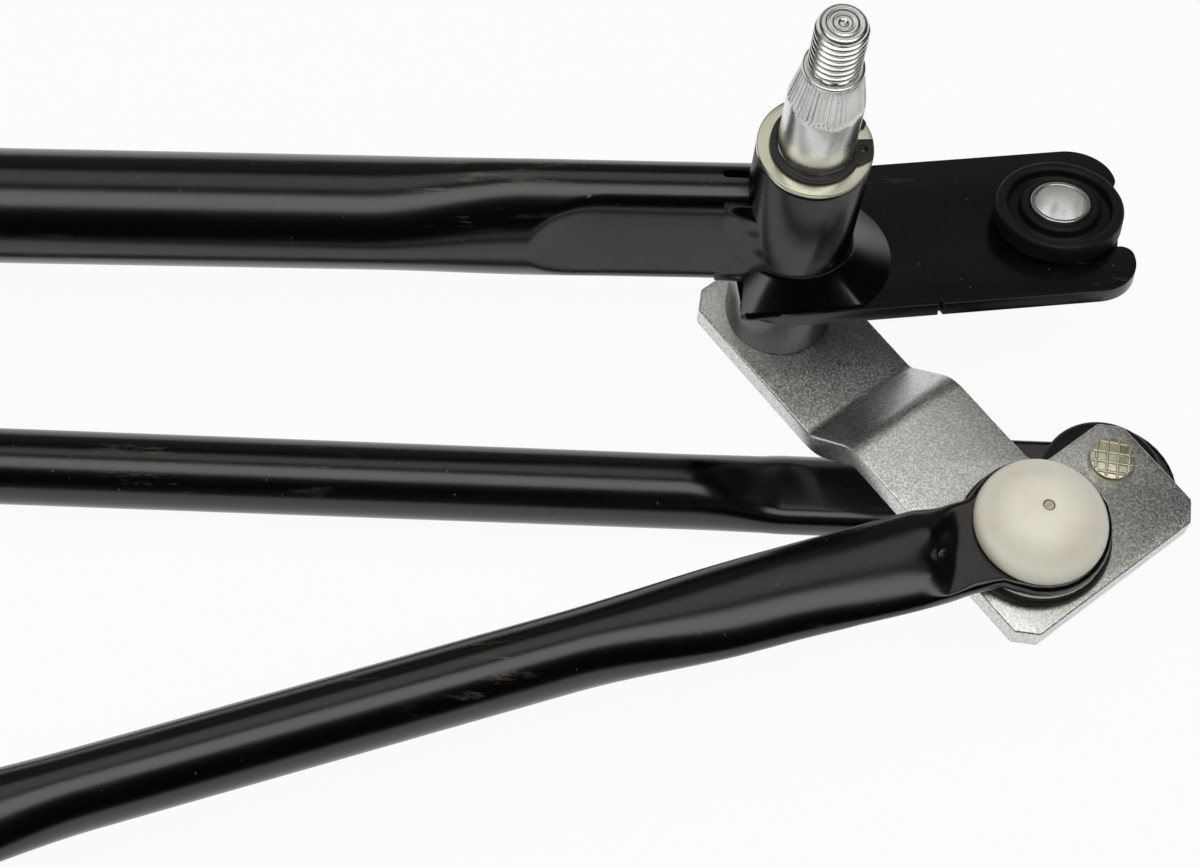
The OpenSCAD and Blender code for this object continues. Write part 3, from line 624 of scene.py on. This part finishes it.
def weld_strip(name, side):
    """A painted weld along one flat of the tube's end, built up against the housing."""
    rows, across = 84, 22
    up = Vector((0, math.sin(LEAN), math.cos(LEAN)))
    out = Vector((0, math.cos(LEAN), -math.sin(LEAN))) * side
    middle = Vector((0, tube_y(-14.0), TUBE_Z))
    loops = []
    for i in range(rows + 1):
        v = i / rows
        edge = middle + up * mix(-10.8, 9.4, v) + out * FLAT_HALF
        wall = -math.sqrt(HOUSING_R ** 2 - min(edge.y ** 2, 90.0))
        swell = ease(v * 7) * ease((1 - v) * 7)
        foot = Vector((-15.6 - 0.25 * math.sin(i * 0.21), edge.y, edge.z)) - out * 0.12
        corner = Vector((wall, edge.y, edge.z))
        top = corner + out * (0.3 + 1.9 * swell + 0.06 * math.sin(i * 0.31))
        top.x = -math.sqrt(max(10.95 ** 2 - top.y ** 2, 4.0))
        bow = mix(corner, (foot + top) / 2, 0.75)
        loop = []
        for j in range(across + 1):
            t = j / across
            q = foot * (1 - t) ** 2 + bow * (2 * t * (1 - t)) + top * t * t
            lump = 0.05 * ripple(i * 0.025, j * 0.04) * math.sin(math.pi * t) * swell
            loop.append(q + (out - Vector((0.5, 0, 0))).normalized() * lump)
        loop += [top - out * 1.5, corner - out * 1.5, foot - out * 1.5]
        loops.append(loop)
    piece = start_ring(name, loops[0])
    for loop in loops[1:]:
        next_ring(piece, loop)
    close_up(piece)
    shade(piece, 60)
    return piece


def tube_welds():
    for name, side in (("front_weld", -1), ("rear_weld", 1)):
        piece = weld_strip("right_" + name, side)
        left = twin(piece, "left_" + name, LEFT_MIRROR)
        settle(piece, "frame", "black_painted_steel", PAINT)
        settle(left, "frame", "black_painted_steel", PAINT)


# Pivots

def pivot_housing():
    piece = turned("right_housing_tube", [
        (10.9, 0.4), (HOUSING_R, 0.9), (HOUSING_R, 59.2), (10.5, 59.8), (9.3, 59.8), (8.9, 59.4),
        (8.9, 1.0), (9.5, 0.4)], ring=True)
    shade(piece, 40)
    left = twin(piece, "left_housing_tube", LEFT)
    settle(piece, "frame", "black_painted_steel", PAINT, "right_pivot_housing")
    settle(left, "frame", "black_painted_steel", PAINT, "left_pivot_housing")


THREAD_R, THREAD_PITCH = 4.93, 1.5


def thread_ring(z, n):
    """One loop of the thread: its ridge climbs one pitch in a turn."""
    loop = []
    for k in range(n):
        turn = 2 * math.pi * k / n
        phase = (z / THREAD_PITCH - k / n) % 1.0
        r = THREAD_R - 0.72 * (0.5 + 0.5 * math.cos(2 * math.pi * phase)) ** 1.4
        chamfer = THREAD_R - 0.55 * ease((z - 97.9) / 1.5)
        r = min(r, chamfer, 4.35 + max(0.0, z - 87.4) * 0.9)
        loop.append(Vector((r * math.cos(turn), r * math.sin(turn), z)))
    return loop


def spindle():
    journal = turned("right_spindle_turned", [
        (5.6, -6.9), (6.6, -6.8), (7.6, -6.2), (8.0, -5.4), (6.0, -5.3), (6.0, 0.0), (7.25, 0.02),
        (7.25, 61.4), (6.35, 61.45), (6.35, 62.75), (7.05, 62.8), (7.25, 63.1), (7.25, 76.4),
        (7.18, 77.0), (5.2, 77.6)])
    bevel(journal, 0.12, 2)
    teeth, around = 50, 6
    n = teeth * around
    cone = start_ring("right_spindle_cone", circle_points(6.6, 76.2, n))
    for z in (76.6, 77.0, 77.3, 77.6, 77.9, 78.2, 78.6, 79.2, 81.0, 83.5, 85.4, 85.9, 86.3):
        loop = circle_points(1.0, z, n)
        for k, p in enumerate(loop):
            tooth = k // around
            start = 77.0 + 0.55 * math.sin(tooth * 2.4) ** 2 + 0.35 * math.sin(tooth * 0.9 + 1)
            deep = 0.22 * ease((z - start) / 0.6) * (1 - ease((z - 85.6) / 0.7))
            groove = (0.5 - 0.5 * math.cos(2 * math.pi * k / around)) ** 0.7
            size = 7.24 - max(0.0, z - 76.8) * 0.178 - deep * groove
            p.x, p.y = p.x * size, p.y * size
        next_ring(cone, loop)
    for r, z in ((5.62, 86.6), (5.66, 86.85), (5.6, 87.1), (5.4, 87.25), (4.9, 87.3),
                 (4.2, 87.3)):
        next_ring(cone, circle_points(r, z, n))
    close_up(cone)
    n = 72
    thread = start_ring("right_spindle_thread", circle_points(4.0, 86.9, n))
    rows = 120
    for j in range(rows + 1):
        next_ring(thread, thread_ring(mix(87.2, 99.35, j / rows), n))
    for r, z in ((4.22, 99.6), (3.98, 99.82), (3.75, 99.92), (3.1, 99.95), (2.98, 99.86),
                 (2.8, 99.86), (2.66, 99.98), (1.95, 99.98), (1.8, 99.88), (1.62, 99.88),
                 (1.5, 99.96), (0.85, 99.92), (0.7, 99.8), (0.15, 99.3)):
        next_ring(thread, circle_points(r, z, n))
    close_up(thread)
    only(journal)
    cone.select_set(True)
    thread.select_set(True)
    bpy.ops.object.join()
    shade(journal, 42)
    left = twin(journal, "left_spindle_turned", LEFT)
    settle(journal, "right_pivot", "zinc_plated_steel", TURNED, "right_spindle")
    settle(left, "left_pivot", "zinc_plated_steel", TURNED, "left_spindle")


def washer():
    piece = turned("right_washer_turned", [
        (7.4, 60.1), (11.0, 60.1), (11.0, 61.4), (7.4, 61.4)], ring=True)
    bevel(piece, 0.22, 3)
    shade(piece)
    left = twin(piece, "left_washer_turned", LEFT)
    settle(piece, "right_pivot", "zinc_plated_steel", BRIGHT, "right_washer")
    settle(left, "left_pivot", "zinc_plated_steel", BRIGHT, "left_washer")


def cad_copy(node, name):
    """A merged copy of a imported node, back in millimetres about the right pivot."""
    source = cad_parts[node]
    mesh = source.data.copy()
    mesh.name = name
    mesh.transform(Matrix.Translation(-PIVOT) @ Matrix.Scale(1 / MM, 4))
    piece = bpy.data.objects.new(name, mesh)
    bpy.context.collection.objects.link(piece)
    only(piece)
    bpy.ops.object.mode_set(mode="EDIT")
    bpy.ops.mesh.select_all(action="SELECT")
    bpy.ops.mesh.remove_doubles(threshold=0.002)
    bpy.ops.mesh.dissolve_limited(angle_limit=math.radians(0.6))
    bpy.ops.object.mode_set(mode="OBJECT")
    return piece


def polar(r, degrees):
    return (r * math.cos(math.radians(degrees)), r * math.sin(math.radians(degrees)))


def circlip():
    """Sprung ring with two lugs beside its gap, each with a plier hole."""
    lug = [(9.2, -24.3), (10.9, -13.7), (10.6, 6.6), (7.5, 7.4)]
    outline = arc(0, 0, 8.55, 60, 333, 48) + [polar(*corner) for corner in lug]
    outline += arc(0, 0, 7.32, 4, -331, 56) + [polar(r, 33 - a) for r, a in reversed(lug)]
    piece = flat_sheet("right_circlip_sprung", outline)
    apply(piece, "SOLIDIFY", thickness=1.1, offset=-1.0)
    moved(piece, shift(0, 0, 62.6))
    for angle in (-6.2, 39.2):
        hole = turned("hole", [(0.72, 55.0), (0.72, 70.0)], 32)
        moved(hole, shift(*polar(8.9, angle), 0))
        cut(piece, hole)
    bevel(piece, 0.16, 3, 40)
    shade(piece)
    left = twin(piece, "left_circlip_sprung", LEFT)
    settle(piece, "right_pivot", "phosphated_spring_steel", PHOSPHATE, "right_circlip")
    settle(left, "left_pivot", "phosphated_spring_steel", PHOSPHATE, "left_circlip")


# Mounting brackets

def drawn_collar(name):
    """The plate drawn up along the housing: a hollow round from plate to tube."""
    n = 144
    face = IN_PLATE.to_3x3() @ Vector((0, 0, 1))

    def on_tube(r, a, height):
        x, y = r * math.cos(a), r * math.sin(a)
        return Vector((x, y, 22.0 + (height - face.x * x - face.y * y) / face.z))

    loops = [[] for _ in range(16)]
    for k in range(n):
        a = 2 * math.pi * k / n
        c, s = math.cos(a - YAW), math.sin(a - YAW)
        reach = min(20.0, 16.5 / max(-s, 0.01))
        base = IN_PLATE @ Vector((reach * c, reach * s, 0.02))
        top = on_tube(11.35, a, 6.3)
        corner = mix((base + top) / 2, on_tube(11.35, a, 0.0), 0.06)
        curve = [base + face * -1.2]
        for j in range(11):
            t = j / 10
            curve.append(base * (1 - t) ** 2 + corner * (2 * t * (1 - t)) + top * t * t)
        curve += [on_tube(r, a, height) for r, height in (
            (11.28, 6.5), (HOUSING_R, 6.6), (10.4, 6.6), (10.4, -1.2))]
        for loop, p in zip(loops, curve):
            loop.append(p)
    piece = start_ring(name, loops[0])
    for loop in loops[1:] + loops[:1]:
        next_ring(piece, loop)
    close_up(piece, fill=False)
    return piece


def mount_bracket():
    near, far, end, lip, slot, corner = 17.2, 24.2, 70.5, 2.6, 17.0, 9.2
    outline = (
        arc(0, 0, near, 225, 270, 12)
        + [(26.0, -near), (26.5, -near), (26.9, -near + 1.1), (27.1, -near + 1.1),
           (27.5, -near), (28.0, -near)]
        + arc(end - 11.2, corner - near, corner, 270, 360, 16)
        + arc(end - 2.0 - lip, MOUNT_Y - slot / 2 - lip, lip, 0, 90, 8)
        + arc(MOUNT_X, MOUNT_Y, slot / 2, 270, 90, 32)
        + arc(end - lip, MOUNT_Y + slot / 2 + lip, lip, 270, 360, 8)
        + arc(end - corner, far - corner, corner, 0, 90, 16)
        + [(17.2, far)] + arc(0, 0, 17.2, 108, 131, 8))
    plate = flat_sheet("right_bracket_pressed", outline)
    apply(plate, "SOLIDIFY", thickness=3.0, offset=-1.0)
    bevel(plate, 0.7, 4, 40)
    rim = drawn_collar("right_collar")
    trim = flat_sheet("trim", [(-60, -60), (-22.4, -60), (-9.1, 0), (-9.1, 60), (-60, 60)])
    apply(trim, "SOLIDIFY", thickness=60.0, offset=0.0)
    moved(trim, IN_PLATE)
    cut(rim, trim)
    moved(plate, IN_PLATE)
    cut(plate, turned("bore", [(10.8, -40), (10.8, 90)], 96))
    shade(plate)
    shade(rim, 50)
    left = twin(plate, "left_bracket_pressed", LEFT_MIRROR)
    left_rim = twin(rim, "left_collar", LEFT_MIRROR)
    settle(plate, "frame", "black_painted_steel", PAINT, "right_mount_bracket")
    settle(rim, "frame", "black_painted_steel", PAINT)
    settle(left, "frame", "black_painted_steel", PAINT, "left_mount_bracket")
    settle(left_rim, "frame", "black_painted_steel", PAINT)


def grommet():
    half, groove = 6.3, 2.4
    piece = turned("right_grommet_moulded", [
        (6.0, -half), (7.9, -half), (7.9, -half + groove), (10.5, -half + groove), (10.5, -half),
        (12.9, -half), (12.9, -1.6), (8.4, -1.6), (8.4, 1.6), (12.9, 1.6), (12.9, half),
        (10.5, half), (10.5, half - groove), (7.9, half - groove), (7.9, half), (6.0, half)],
        112, ring=True)
    bevel(piece, 0.75, 4, 40)
    shade(piece, 45)
    moved(piece, IN_MOUNT)
    left = twin(piece, "left_grommet_moulded", LEFT_MIRROR)
    settle(piece, "frame", "black_rubber", RUBBER, "right_grommet")
    settle(left, "frame", "black_rubber", RUBBER, "left_grommet")


def grommet_sleeve():
    half = 6.8
    piece = turned("right_sleeve_turned", [
        (5.1, -half), (6.0, -half), (6.0, half), (5.1, half)], 96, ring=True)
    bevel(piece, 0.25, 3)
    shade(piece)
    moved(piece, IN_MOUNT)
    left = twin(piece, "left_sleeve_turned", LEFT_MIRROR)
    settle(piece, "frame", "zinc_plated_steel", TURNED, "right_grommet_sleeve")
    settle(left, "frame", "zinc_plated_steel", TURNED, "left_grommet_sleeve")


# Motor plate

def motor_bracket():
    piece = cad_copy("motor_bracket", "motor_plate_pressed")
    bevel(piece, 0.6, 3, 40)
    shade(piece, 40)
    apply(piece, "WEIGHTED_NORMAL", weight=100, keep_sharp=True)
    settle(piece, "frame", "black_painted_steel", PAINT, "motor_bracket")


# Levers

def lever_height(s):
    """Height of a lever's top face along its length, with round bends."""
    lean = math.atan2(LEVER_STEP, STEP_TO - STEP_FROM)
    low_r, high_r = 3.0, 7.0
    low, high = low_r * math.tan(lean / 2), high_r * math.tan(lean / 2)
    if s < STEP_FROM - low:
        return 0.0
    if s < STEP_FROM + low * math.cos(lean):
        return low_r - math.sqrt(max(low_r ** 2 - (s - STEP_FROM + low) ** 2, 0.0))
    if s < STEP_TO - high * math.cos(lean):
        return (s - STEP_FROM) * math.tan(lean)
    if s < STEP_TO + high:
        return LEVER_STEP - high_r + math.sqrt(max(high_r ** 2 - (STEP_TO + high - s) ** 2, 0.0))
    return LEVER_STEP


def stepped_plate(name, outline):
    """A flat plate, cut across where it bends, lifted over the step and thickened."""
    piece = flat_sheet(name, outline)
    only(piece)
    bpy.ops.object.mode_set(mode="EDIT")
    cuts = [25.2 + 0.28 * k for k in range(14)] + [32.0] + [33.4 + 0.45 * k for k in range(17)]
    for s in cuts:
        bpy.ops.mesh.select_all(action="SELECT")
        bpy.ops.mesh.bisect(plane_co=(s, 0, 0), plane_no=(1, 0, 0))
    bpy.ops.object.mode_set(mode="OBJECT")
    for v in piece.data.vertices:
        v.co.z = lever_height(v.co.x)
    apply(piece, "SOLIDIFY", thickness=LEVER_T, offset=-1.0, use_even_offset=True)
    return piece


def right_lever():
    back, half, c = LEVER_BACK, LEVER_HALF, LEVER_CHAMFER
    neck, far, top, fillet = 62.0, 89.0, 33.6, 3.7
    outline = [(back, -half + c), (back + c, -half), (far - c, -half), (far, -half + c),
               (far, top - c), (far - c, top), (neck + c, top), (neck, top - c)]
    outline += arc(neck - fillet, half + fillet, fillet, 0, -90, 8)
    outline += [(back + c, half), (back, half - c)]
    piece = stepped_plate("right_lever_stamped", outline)
    bevel(piece, 0.45, 3, 40)
    shade(piece, 30)
    moved(piece, about_z(LEVER_TURN))
    settle(piece, "right_pivot", "zinc_plated_steel", ZINC, "right_lever")


def left_lever():
    back, half, c = LEVER_BACK, LEVER_HALF, LEVER_CHAMFER
    taper, end = 42.8, 11.5
    far = TIE_BALL.to_2d().length + 12.0
    outline = [(back, -half + c), (back + c, -half), (taper, -half), (far - 2 * c, -end),
               (far, -end + 2 * c), (far, end - 2 * c), (far - 2 * c, end), (taper, half),
               (back + c, half), (back, half - c)]
    piece = stepped_plate("left_lever_stamped", outline)
    bevel(piece, 0.45, 3, 40)
    shade(piece, 30)
    moved(piece, LEFT @ about_z(math.atan2(TIE_BALL.y, TIE_BALL.x)))
    settle(piece, "left_pivot", "zinc_plated_steel", ZINC, "left_lever")


# Ball joints

def unit_cube():
    clear_selection()
    bpy.ops.mesh.primitive_cube_add(size=1.0)
    return bpy.context.object


def ball_stud():
    tip = 15.75
    crown = BALL_Z + math.sqrt(BALL_R ** 2 - 3.2 ** 2)
    ball = [(3.2, crown), (1.0, crown), (1.0, 15.6), (0.85, tip)]
    profile = [(4.35, -6.8), (4.62, -6.6), (4.75, -6.1), (4.75, -5.3), (4.0, -5.28), (4.0, -0.02),
               (4.7, 0.0), (4.7, 1.7)]
    for k in range(15):
        a = math.radians(mix(-43.0, 60.0, k / 14))
        profile.append((BALL_R * math.cos(a), BALL_Z + BALL_R * math.sin(a)))
    piece = turned("drive_stud_turned", profile + ball, 72)
    notch = unit_cube()
    cut(piece, moved(notch, about_z(0.5) @ shift(0, 0, tip) @ Matrix.Diagonal((4.0, 0.3, 0.5, 1))))
    shade(piece, 40)
    pads = []
    step, wide = 2.35, 0.62
    for k in (-1.5, -0.5, 0.5, 1.5):
        off = k * step * 0.92
        reach = math.sqrt(max(4.3 ** 2 - off * off, 0.1))
        size = Matrix.Diagonal((2 * reach, wide, 0.8, 1))
        for turn in (0.0, math.pi / 2):
            pads.append(moved(unit_cube(), about_z(turn) @ shift(0, off, -6.8) @ size))
    only(pads[0])
    for bar in pads[1:]:
        bar.select_set(True)
    bpy.ops.object.join()
    grid = bpy.context.object
    bevel(grid, 0.2, 3)
    grid.name = "rivet_grid"
    only(piece)
    grid.select_set(True)
    bpy.ops.object.join()
    shade(piece, 40)
    upright = shift(DRIVE_BALL.x, DRIVE_BALL.y, LEVER_STEP)
    hung = shift(TIE_BALL.x, TIE_BALL.y, LEVER_STEP - LEVER_T)
    hung = hung @ UPSIDE_DOWN @ about_z(math.radians(8))
    for name, place, body, node in (
            ("right_tie_stud_turned", hung, "right_pivot", "right_tie_ball_stud"),
            ("left_tie_stud_turned", LEFT @ hung, "left_pivot", "left_tie_ball_stud")):
        settle(twin(piece, name, place), body, "zinc_plated_steel", RIVET, node)
    settle(moved(piece, upright), "right_pivot", "zinc_plated_steel", RIVET, "drive_ball_stud")


def socket_profile(flange):
    """Socket with its dome up: hole, crown, soft shoulder, rim and flange, then the inside."""
    profile = [(1.2, 10.2), (1.45, 10.3), (3.0, 10.15), (5.0, 9.75), (7.0, 9.0), (8.6, 8.0),
               (9.9, 6.85), (10.8, 5.9), (11.4, 5.35), (11.9, 4.95), (12.4, 4.4), (12.75, 3.8),
               (12.95, 3.1), (13.03, 2.4), (13.0, 1.95), (12.8, 1.72), (9.5, 1.7), (9.5, -1.7),
               (flange - 0.2, -1.7), (flange, -1.85), (flange, -2.0), (flange - 0.2, -2.15),
               (6.3, -2.15), (5.9, -2.1), (5.7, -1.9)]
    for k in range(16):
        a = math.radians(mix(-25.0, 78.5, k / 15))
        profile.append((6.6 * math.cos(a), 0.5 + 6.6 * math.sin(a)))
    return profile + [(1.2, 7.2)]


MOTOR_END = ON_DRIVE @ shift(DRIVE_LENGTH, 0, 0) @ UPSIDE_DOWN
TIE_RIGHT = ON_TIE @ UPSIDE_DOWN
TIE_LEFT = LEFT @ TIE_RIGHT


def ball_sockets():
    piece = turned("drive_lever_socket_moulded", socket_profile(14.0), 112, ring=True)
    shade(piece, 40)
    far = twin(piece, "drive_motor_socket_moulded", MOTOR_END)
    settle(moved(piece, ON_DRIVE), "drive_link", "white_nylon", NYLON, "drive_lever_socket")
    settle(far, "drive_link", "white_nylon", NYLON, "drive_motor_socket")
    small = turned("tie_right_socket_moulded", socket_profile(12.2), 112, ring=True)
    shade(small, 40)
    far = twin(small, "tie_left_socket_moulded", TIE_LEFT)
    settle(moved(small, TIE_RIGHT), "tie_link", "white_nylon", NYLON, "tie_right_socket")
    settle(far, "tie_link", "white_nylon", NYLON, "tie_left_socket")


def dust_seal(name, r):
    top = -2.2
    piece = turned(name, [
        (5.5, top - 3.0), (r - 2.1, top - 3.0), (r - 0.7, top - 2.6), (r, top - 1.8),
        (r - 0.1, top - 0.8), (r - 0.7, top), (5.5, top)], 112, ring=True)
    bevel(piece, 0.3, 3, 30)
    shade(piece, 45)
    return piece


def dust_seals():
    piece = dust_seal("drive_lever_seal_moulded", 15.1)
    far = twin(piece, "drive_motor_seal_moulded", MOTOR_END)
    settle(moved(piece, ON_DRIVE), "drive_link", "black_rubber", RUBBER, "drive_lever_seal")
    settle(far, "drive_link", "black_rubber", RUBBER, "drive_motor_seal")
    small = dust_seal("tie_right_seal_moulded", 12.4)
    far = twin(small, "tie_left_seal_moulded", TIE_LEFT)
    settle(moved(small, TIE_RIGHT), "tie_link", "black_rubber", RUBBER, "tie_right_seal")
    settle(far, "tie_link", "black_rubber", RUBBER, "tie_left_seal")


# Link tubes

EYE_T, NECK_W, LINK_D = 3.3, 18.6, 15.2


def eye_width(d, eye):
    r, out = eye
    u = d + out
    wide = 2 * math.sqrt(max(r * r - u * u, 0.02)) if abs(u) < r else 0.0
    if u < 0:
        return wide
    return -lower_of(-wide, -NECK_W, 3.0)


def link_section(d, n, eye, form, press, round_part, oval):
    """Section at the distance d from a ball: flat eye, pressed run, round tube."""
    b = ease((d - form[0]) / (form[1] - form[0]))
    m = ease((d - form[1]) / (form[2] - form[1]))
    c = ease((d - form[2]) / (form[3] - form[2]))
    runs = zip(*press, (LINK_D, LINK_D) + round_part)
    wide, tall, side, drop = (mix(mix(u, v, m), w, c) for u, v, w in runs)
    w = mix(eye_width(d, eye), wide, b)
    h = mix(EYE_T, tall, b)
    r = mix(min(EYE_T, w) / 2 - 0.1, mix(tall / 2 - 0.4, LINK_D / 2, c), b)
    r = min(r, h / 2 - 0.02, w / 2 - 0.02)
    points = []
    for k, (y, z) in enumerate(boxed(w, h, r, n)):
        a = 2 * math.pi * (k + 0.5) / n
        y, z = mix(y, w / 2 * math.cos(a), oval * b), mix(z, h / 2 * math.sin(a), oval * b)
        points.append((y + side * b, z - drop * b))
    return points


def link_tube(name, length, section, eye, stations, n=96):
    turns = (6, 14, 22, 30, 40, 50, 60, 70, 80, 90)
    half = [-eye[1] - eye[0] * math.cos(math.radians(a)) for a in turns]
    half += [3.0, 6.0, 9.0, 11.0] + stations
    line = half + [length - d for d in reversed(half)]
    piece = start_ring(name, [Vector((line[0], y, z)) for y, z in section(line[0], n)])
    for x in line[1:]:
        next_ring(piece, [Vector((x, y, z)) for y, z in section(min(x, length - x), n)])
    close_up(piece)
    bevel(piece, 0.3, 2, 60)
    for x in (0.0, length):
        drill = turned("drill", [(9.55, -10.0), (9.55, 10.0)], 96)
        moved(drill, shift(x, 0, 0))
        cut(piece, drill)
    weed(piece)
    shade(piece, 40)
    return piece


TIE_EYE, DRIVE_EYE = (13.4, 2.0), (14.2, 0.0)
TIE_FORM, DRIVE_FORM = (20.0, 44.0, 62.0, 84.0), (16.4, 23.5, 58.0, 95.0)
DRIVE_PRESS, DRIVE_ROUND = ((19.8, 8.4, -0.4, 0.3), (18.6, 11.0, -1.4, 1.2)), (-2.5, 2.6)
DIMPLE_AT = 21.6


def tie_section(d, n):
    """The tie link: its pressed run leans back under the lever."""
    pressed = (17.4, 9.0, -0.6, 10.1)
    a, b, c, e = TIE_FORM
    lean = 0.13 * ease((d - a) / (b - a)) * (1 - ease((d - c) / (e - c)))
    plain = link_section(d, n, TIE_EYE, TIE_FORM, (pressed, pressed), (1.9, 6.0), 0)
    return [(y, z - lean * (8.0 - y) * ease((z + 12.0) / 5.0)) for y, z in plain]


def drive_section(d, n):
    """The drive link: its flat ends on a slanting line, with a dimple behind it."""
    shape = (n, DRIVE_EYE, DRIVE_FORM, DRIVE_PRESS, DRIVE_ROUND, 1)
    plain = link_section(d, *shape)
    if d < 8.0 or d > 40.0:
        return plain
    points, along = [], d - DIMPLE_AT
    for k, (y, _) in enumerate(plain):
        z = link_section(d - 0.45 * y - 0.02 * y * y, *shape)[k][1]
        if z > 0:
            z -= 1.5 * math.exp(-math.hypot(along / 1.9, (y - 0.6 - 0.25 * along) / 1.4))
        points.append((y, z))
    return points


def link_tubes():
    tie = link_tube("tie_link_formed", SPAN, tie_section, TIE_EYE,
                    [14.0, 17.0, 20.0] + [20.0 + 1.5 * k for k in range(1, 17)] + [50.0, 57.0]
                    + [62.0 + k for k in range(23)] + [100.0, 160.0, 240.0])
    settle(moved(tie, ON_TIE), "tie_link", "black_painted_steel", PAINT, "tie_link_tube")
    drive = link_tube("drive_link_formed", DRIVE_LENGTH, drive_section, DRIVE_EYE,
                      [12.5 + 0.5 * k for k in range(38)]
                      + [32.0, 34.0, 37.0, 40.0, 43.0, 47.0, 52.0, 58.0]
                      + [64.0 + 2.0 * k for k in range(21)] + [112.0, 125.0])
    settle(moved(drive, ON_DRIVE), "drive_link", "black_painted_steel", PAINT, "drive_link_tube")


frame_tube()
tube_welds()
pivot_housing()
spindle()
washer()
circlip()
mount_bracket()
grommet()
grommet_sleeve()
motor_bracket()
right_lever()
left_lever()
ball_stud()
ball_sockets()
dust_seals()
link_tubes()

for bush in ("right_upper_bush", "right_lower_bush", "left_upper_bush", "left_lower_bush"):
    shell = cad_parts[bush]
    for place in shell.material_slots:
        place.material = BRONZE


# Stage and lights

FLOOR_SIZE, FLOOR_GAP, FLOOR_GLOW = 2.4, 0.0006, 0.94
LAMP_TINT = (1.0, 0.985, 0.95)


def softbox(name, power, size, place, aim, shine=True):
    lamp = bpy.data.lights.new(name, "AREA")
    lamp.shape = "RECTANGLE"
    lamp.size, lamp.size_y = size
    lamp.energy = power
    lamp.color = LAMP_TINT
    held = bpy.data.objects.new(name, lamp)
    held.location = place
    held.visible_glossy = shine
    held.rotation_euler = (Vector(aim) - Vector(place)).to_track_quat("-Z", "Y").to_euler()
    bpy.context.collection.objects.link(held)


def studio():
    low = cad_box[0].z
    clear_selection()
    bpy.ops.mesh.primitive_plane_add(size=FLOOR_SIZE, location=(-0.3, 0.80, low - FLOOR_GAP))
    floor = bpy.context.object
    floor.name = "studio_floor"
    pale = bpy.data.materials.new("pale_floor")
    pale.use_nodes = True
    tree = pale.node_tree
    tree.nodes.clear()
    out = tree.nodes.new("ShaderNodeOutputMaterial")
    sheet = tree.nodes.new("ShaderNodeBsdfDiffuse")
    sheet.inputs["Color"].default_value = (0.86, 0.86, 0.86, 1)
    glow = tree.nodes.new("ShaderNodeEmission")
    glow.inputs["Strength"].default_value = 1.0
    path = tree.nodes.new("ShaderNodeLightPath")
    seen = tree.nodes.new("ShaderNodeMath")
    seen.operation = "MAXIMUM"
    tree.links.new(path.outputs["Is Camera Ray"], seen.inputs[0])
    tree.links.new(path.outputs["Is Glossy Ray"], seen.inputs[1])
    also = tree.nodes.new("ShaderNodeMath")
    also.operation = "MAXIMUM"
    tree.links.new(seen.outputs[0], also.inputs[0])
    tree.links.new(path.outputs["Is Transmission Ray"], also.inputs[1])
    share = tree.nodes.new("ShaderNodeMath")
    share.operation = "MULTIPLY"
    share.inputs[1].default_value = FLOOR_GLOW
    tree.links.new(also.outputs[0], share.inputs[0])
    blend = tree.nodes.new("ShaderNodeMixShader")
    tree.links.new(share.outputs[0], blend.inputs[0])
    tree.links.new(sheet.outputs[0], blend.inputs[1])
    tree.links.new(glow.outputs[0], blend.inputs[2])
    tree.links.new(blend.outputs[0], out.inputs["Surface"])
    floor.data.materials.append(pale)

    softbox("overhead_softbox", 1.7, (0.9, 0.26), (-0.12, -0.150, 0.47), (-0.12, -0.05, 0.0))
    softbox("rear_softbox", 1.35, (1.0, 0.48), (-0.20, 0.42, 0.80), (-0.20, -0.02, 0.0))
    softbox("back_softbox", 0.45, (1.8, 0.7), (-0.1, 1.10, 0.38), (-0.1, 0.0, 0.0))
    softbox("fill_softbox", 5.5, (2.0, 2.0), (-0.1, -0.2, 1.2), (-0.1, -0.05, 0.0), shine=False)

    world = bpy.data.worlds.new("studio_world")
    bpy.context.scene.world = world
    world.use_nodes = True
    tree = world.node_tree
    back = tree.nodes["Background"]
    back.inputs["Color"].default_value = (0.008, 0.008, 0.009, 1)
    white = tree.nodes.new("ShaderNodeBackground")
    white.inputs["Color"].default_value = (1, 1, 1, 1)
    path = tree.nodes.new("ShaderNodeLightPath")
    blend = tree.nodes.new("ShaderNodeMixShader")
    tree.links.new(path.outputs["Is Camera Ray"], blend.inputs[0])
    tree.links.new(back.outputs[0], blend.inputs[1])
    tree.links.new(white.outputs[0], blend.inputs[2])
    tree.links.new(blend.outputs[0], tree.nodes["World Output"].inputs["Surface"])


studio()
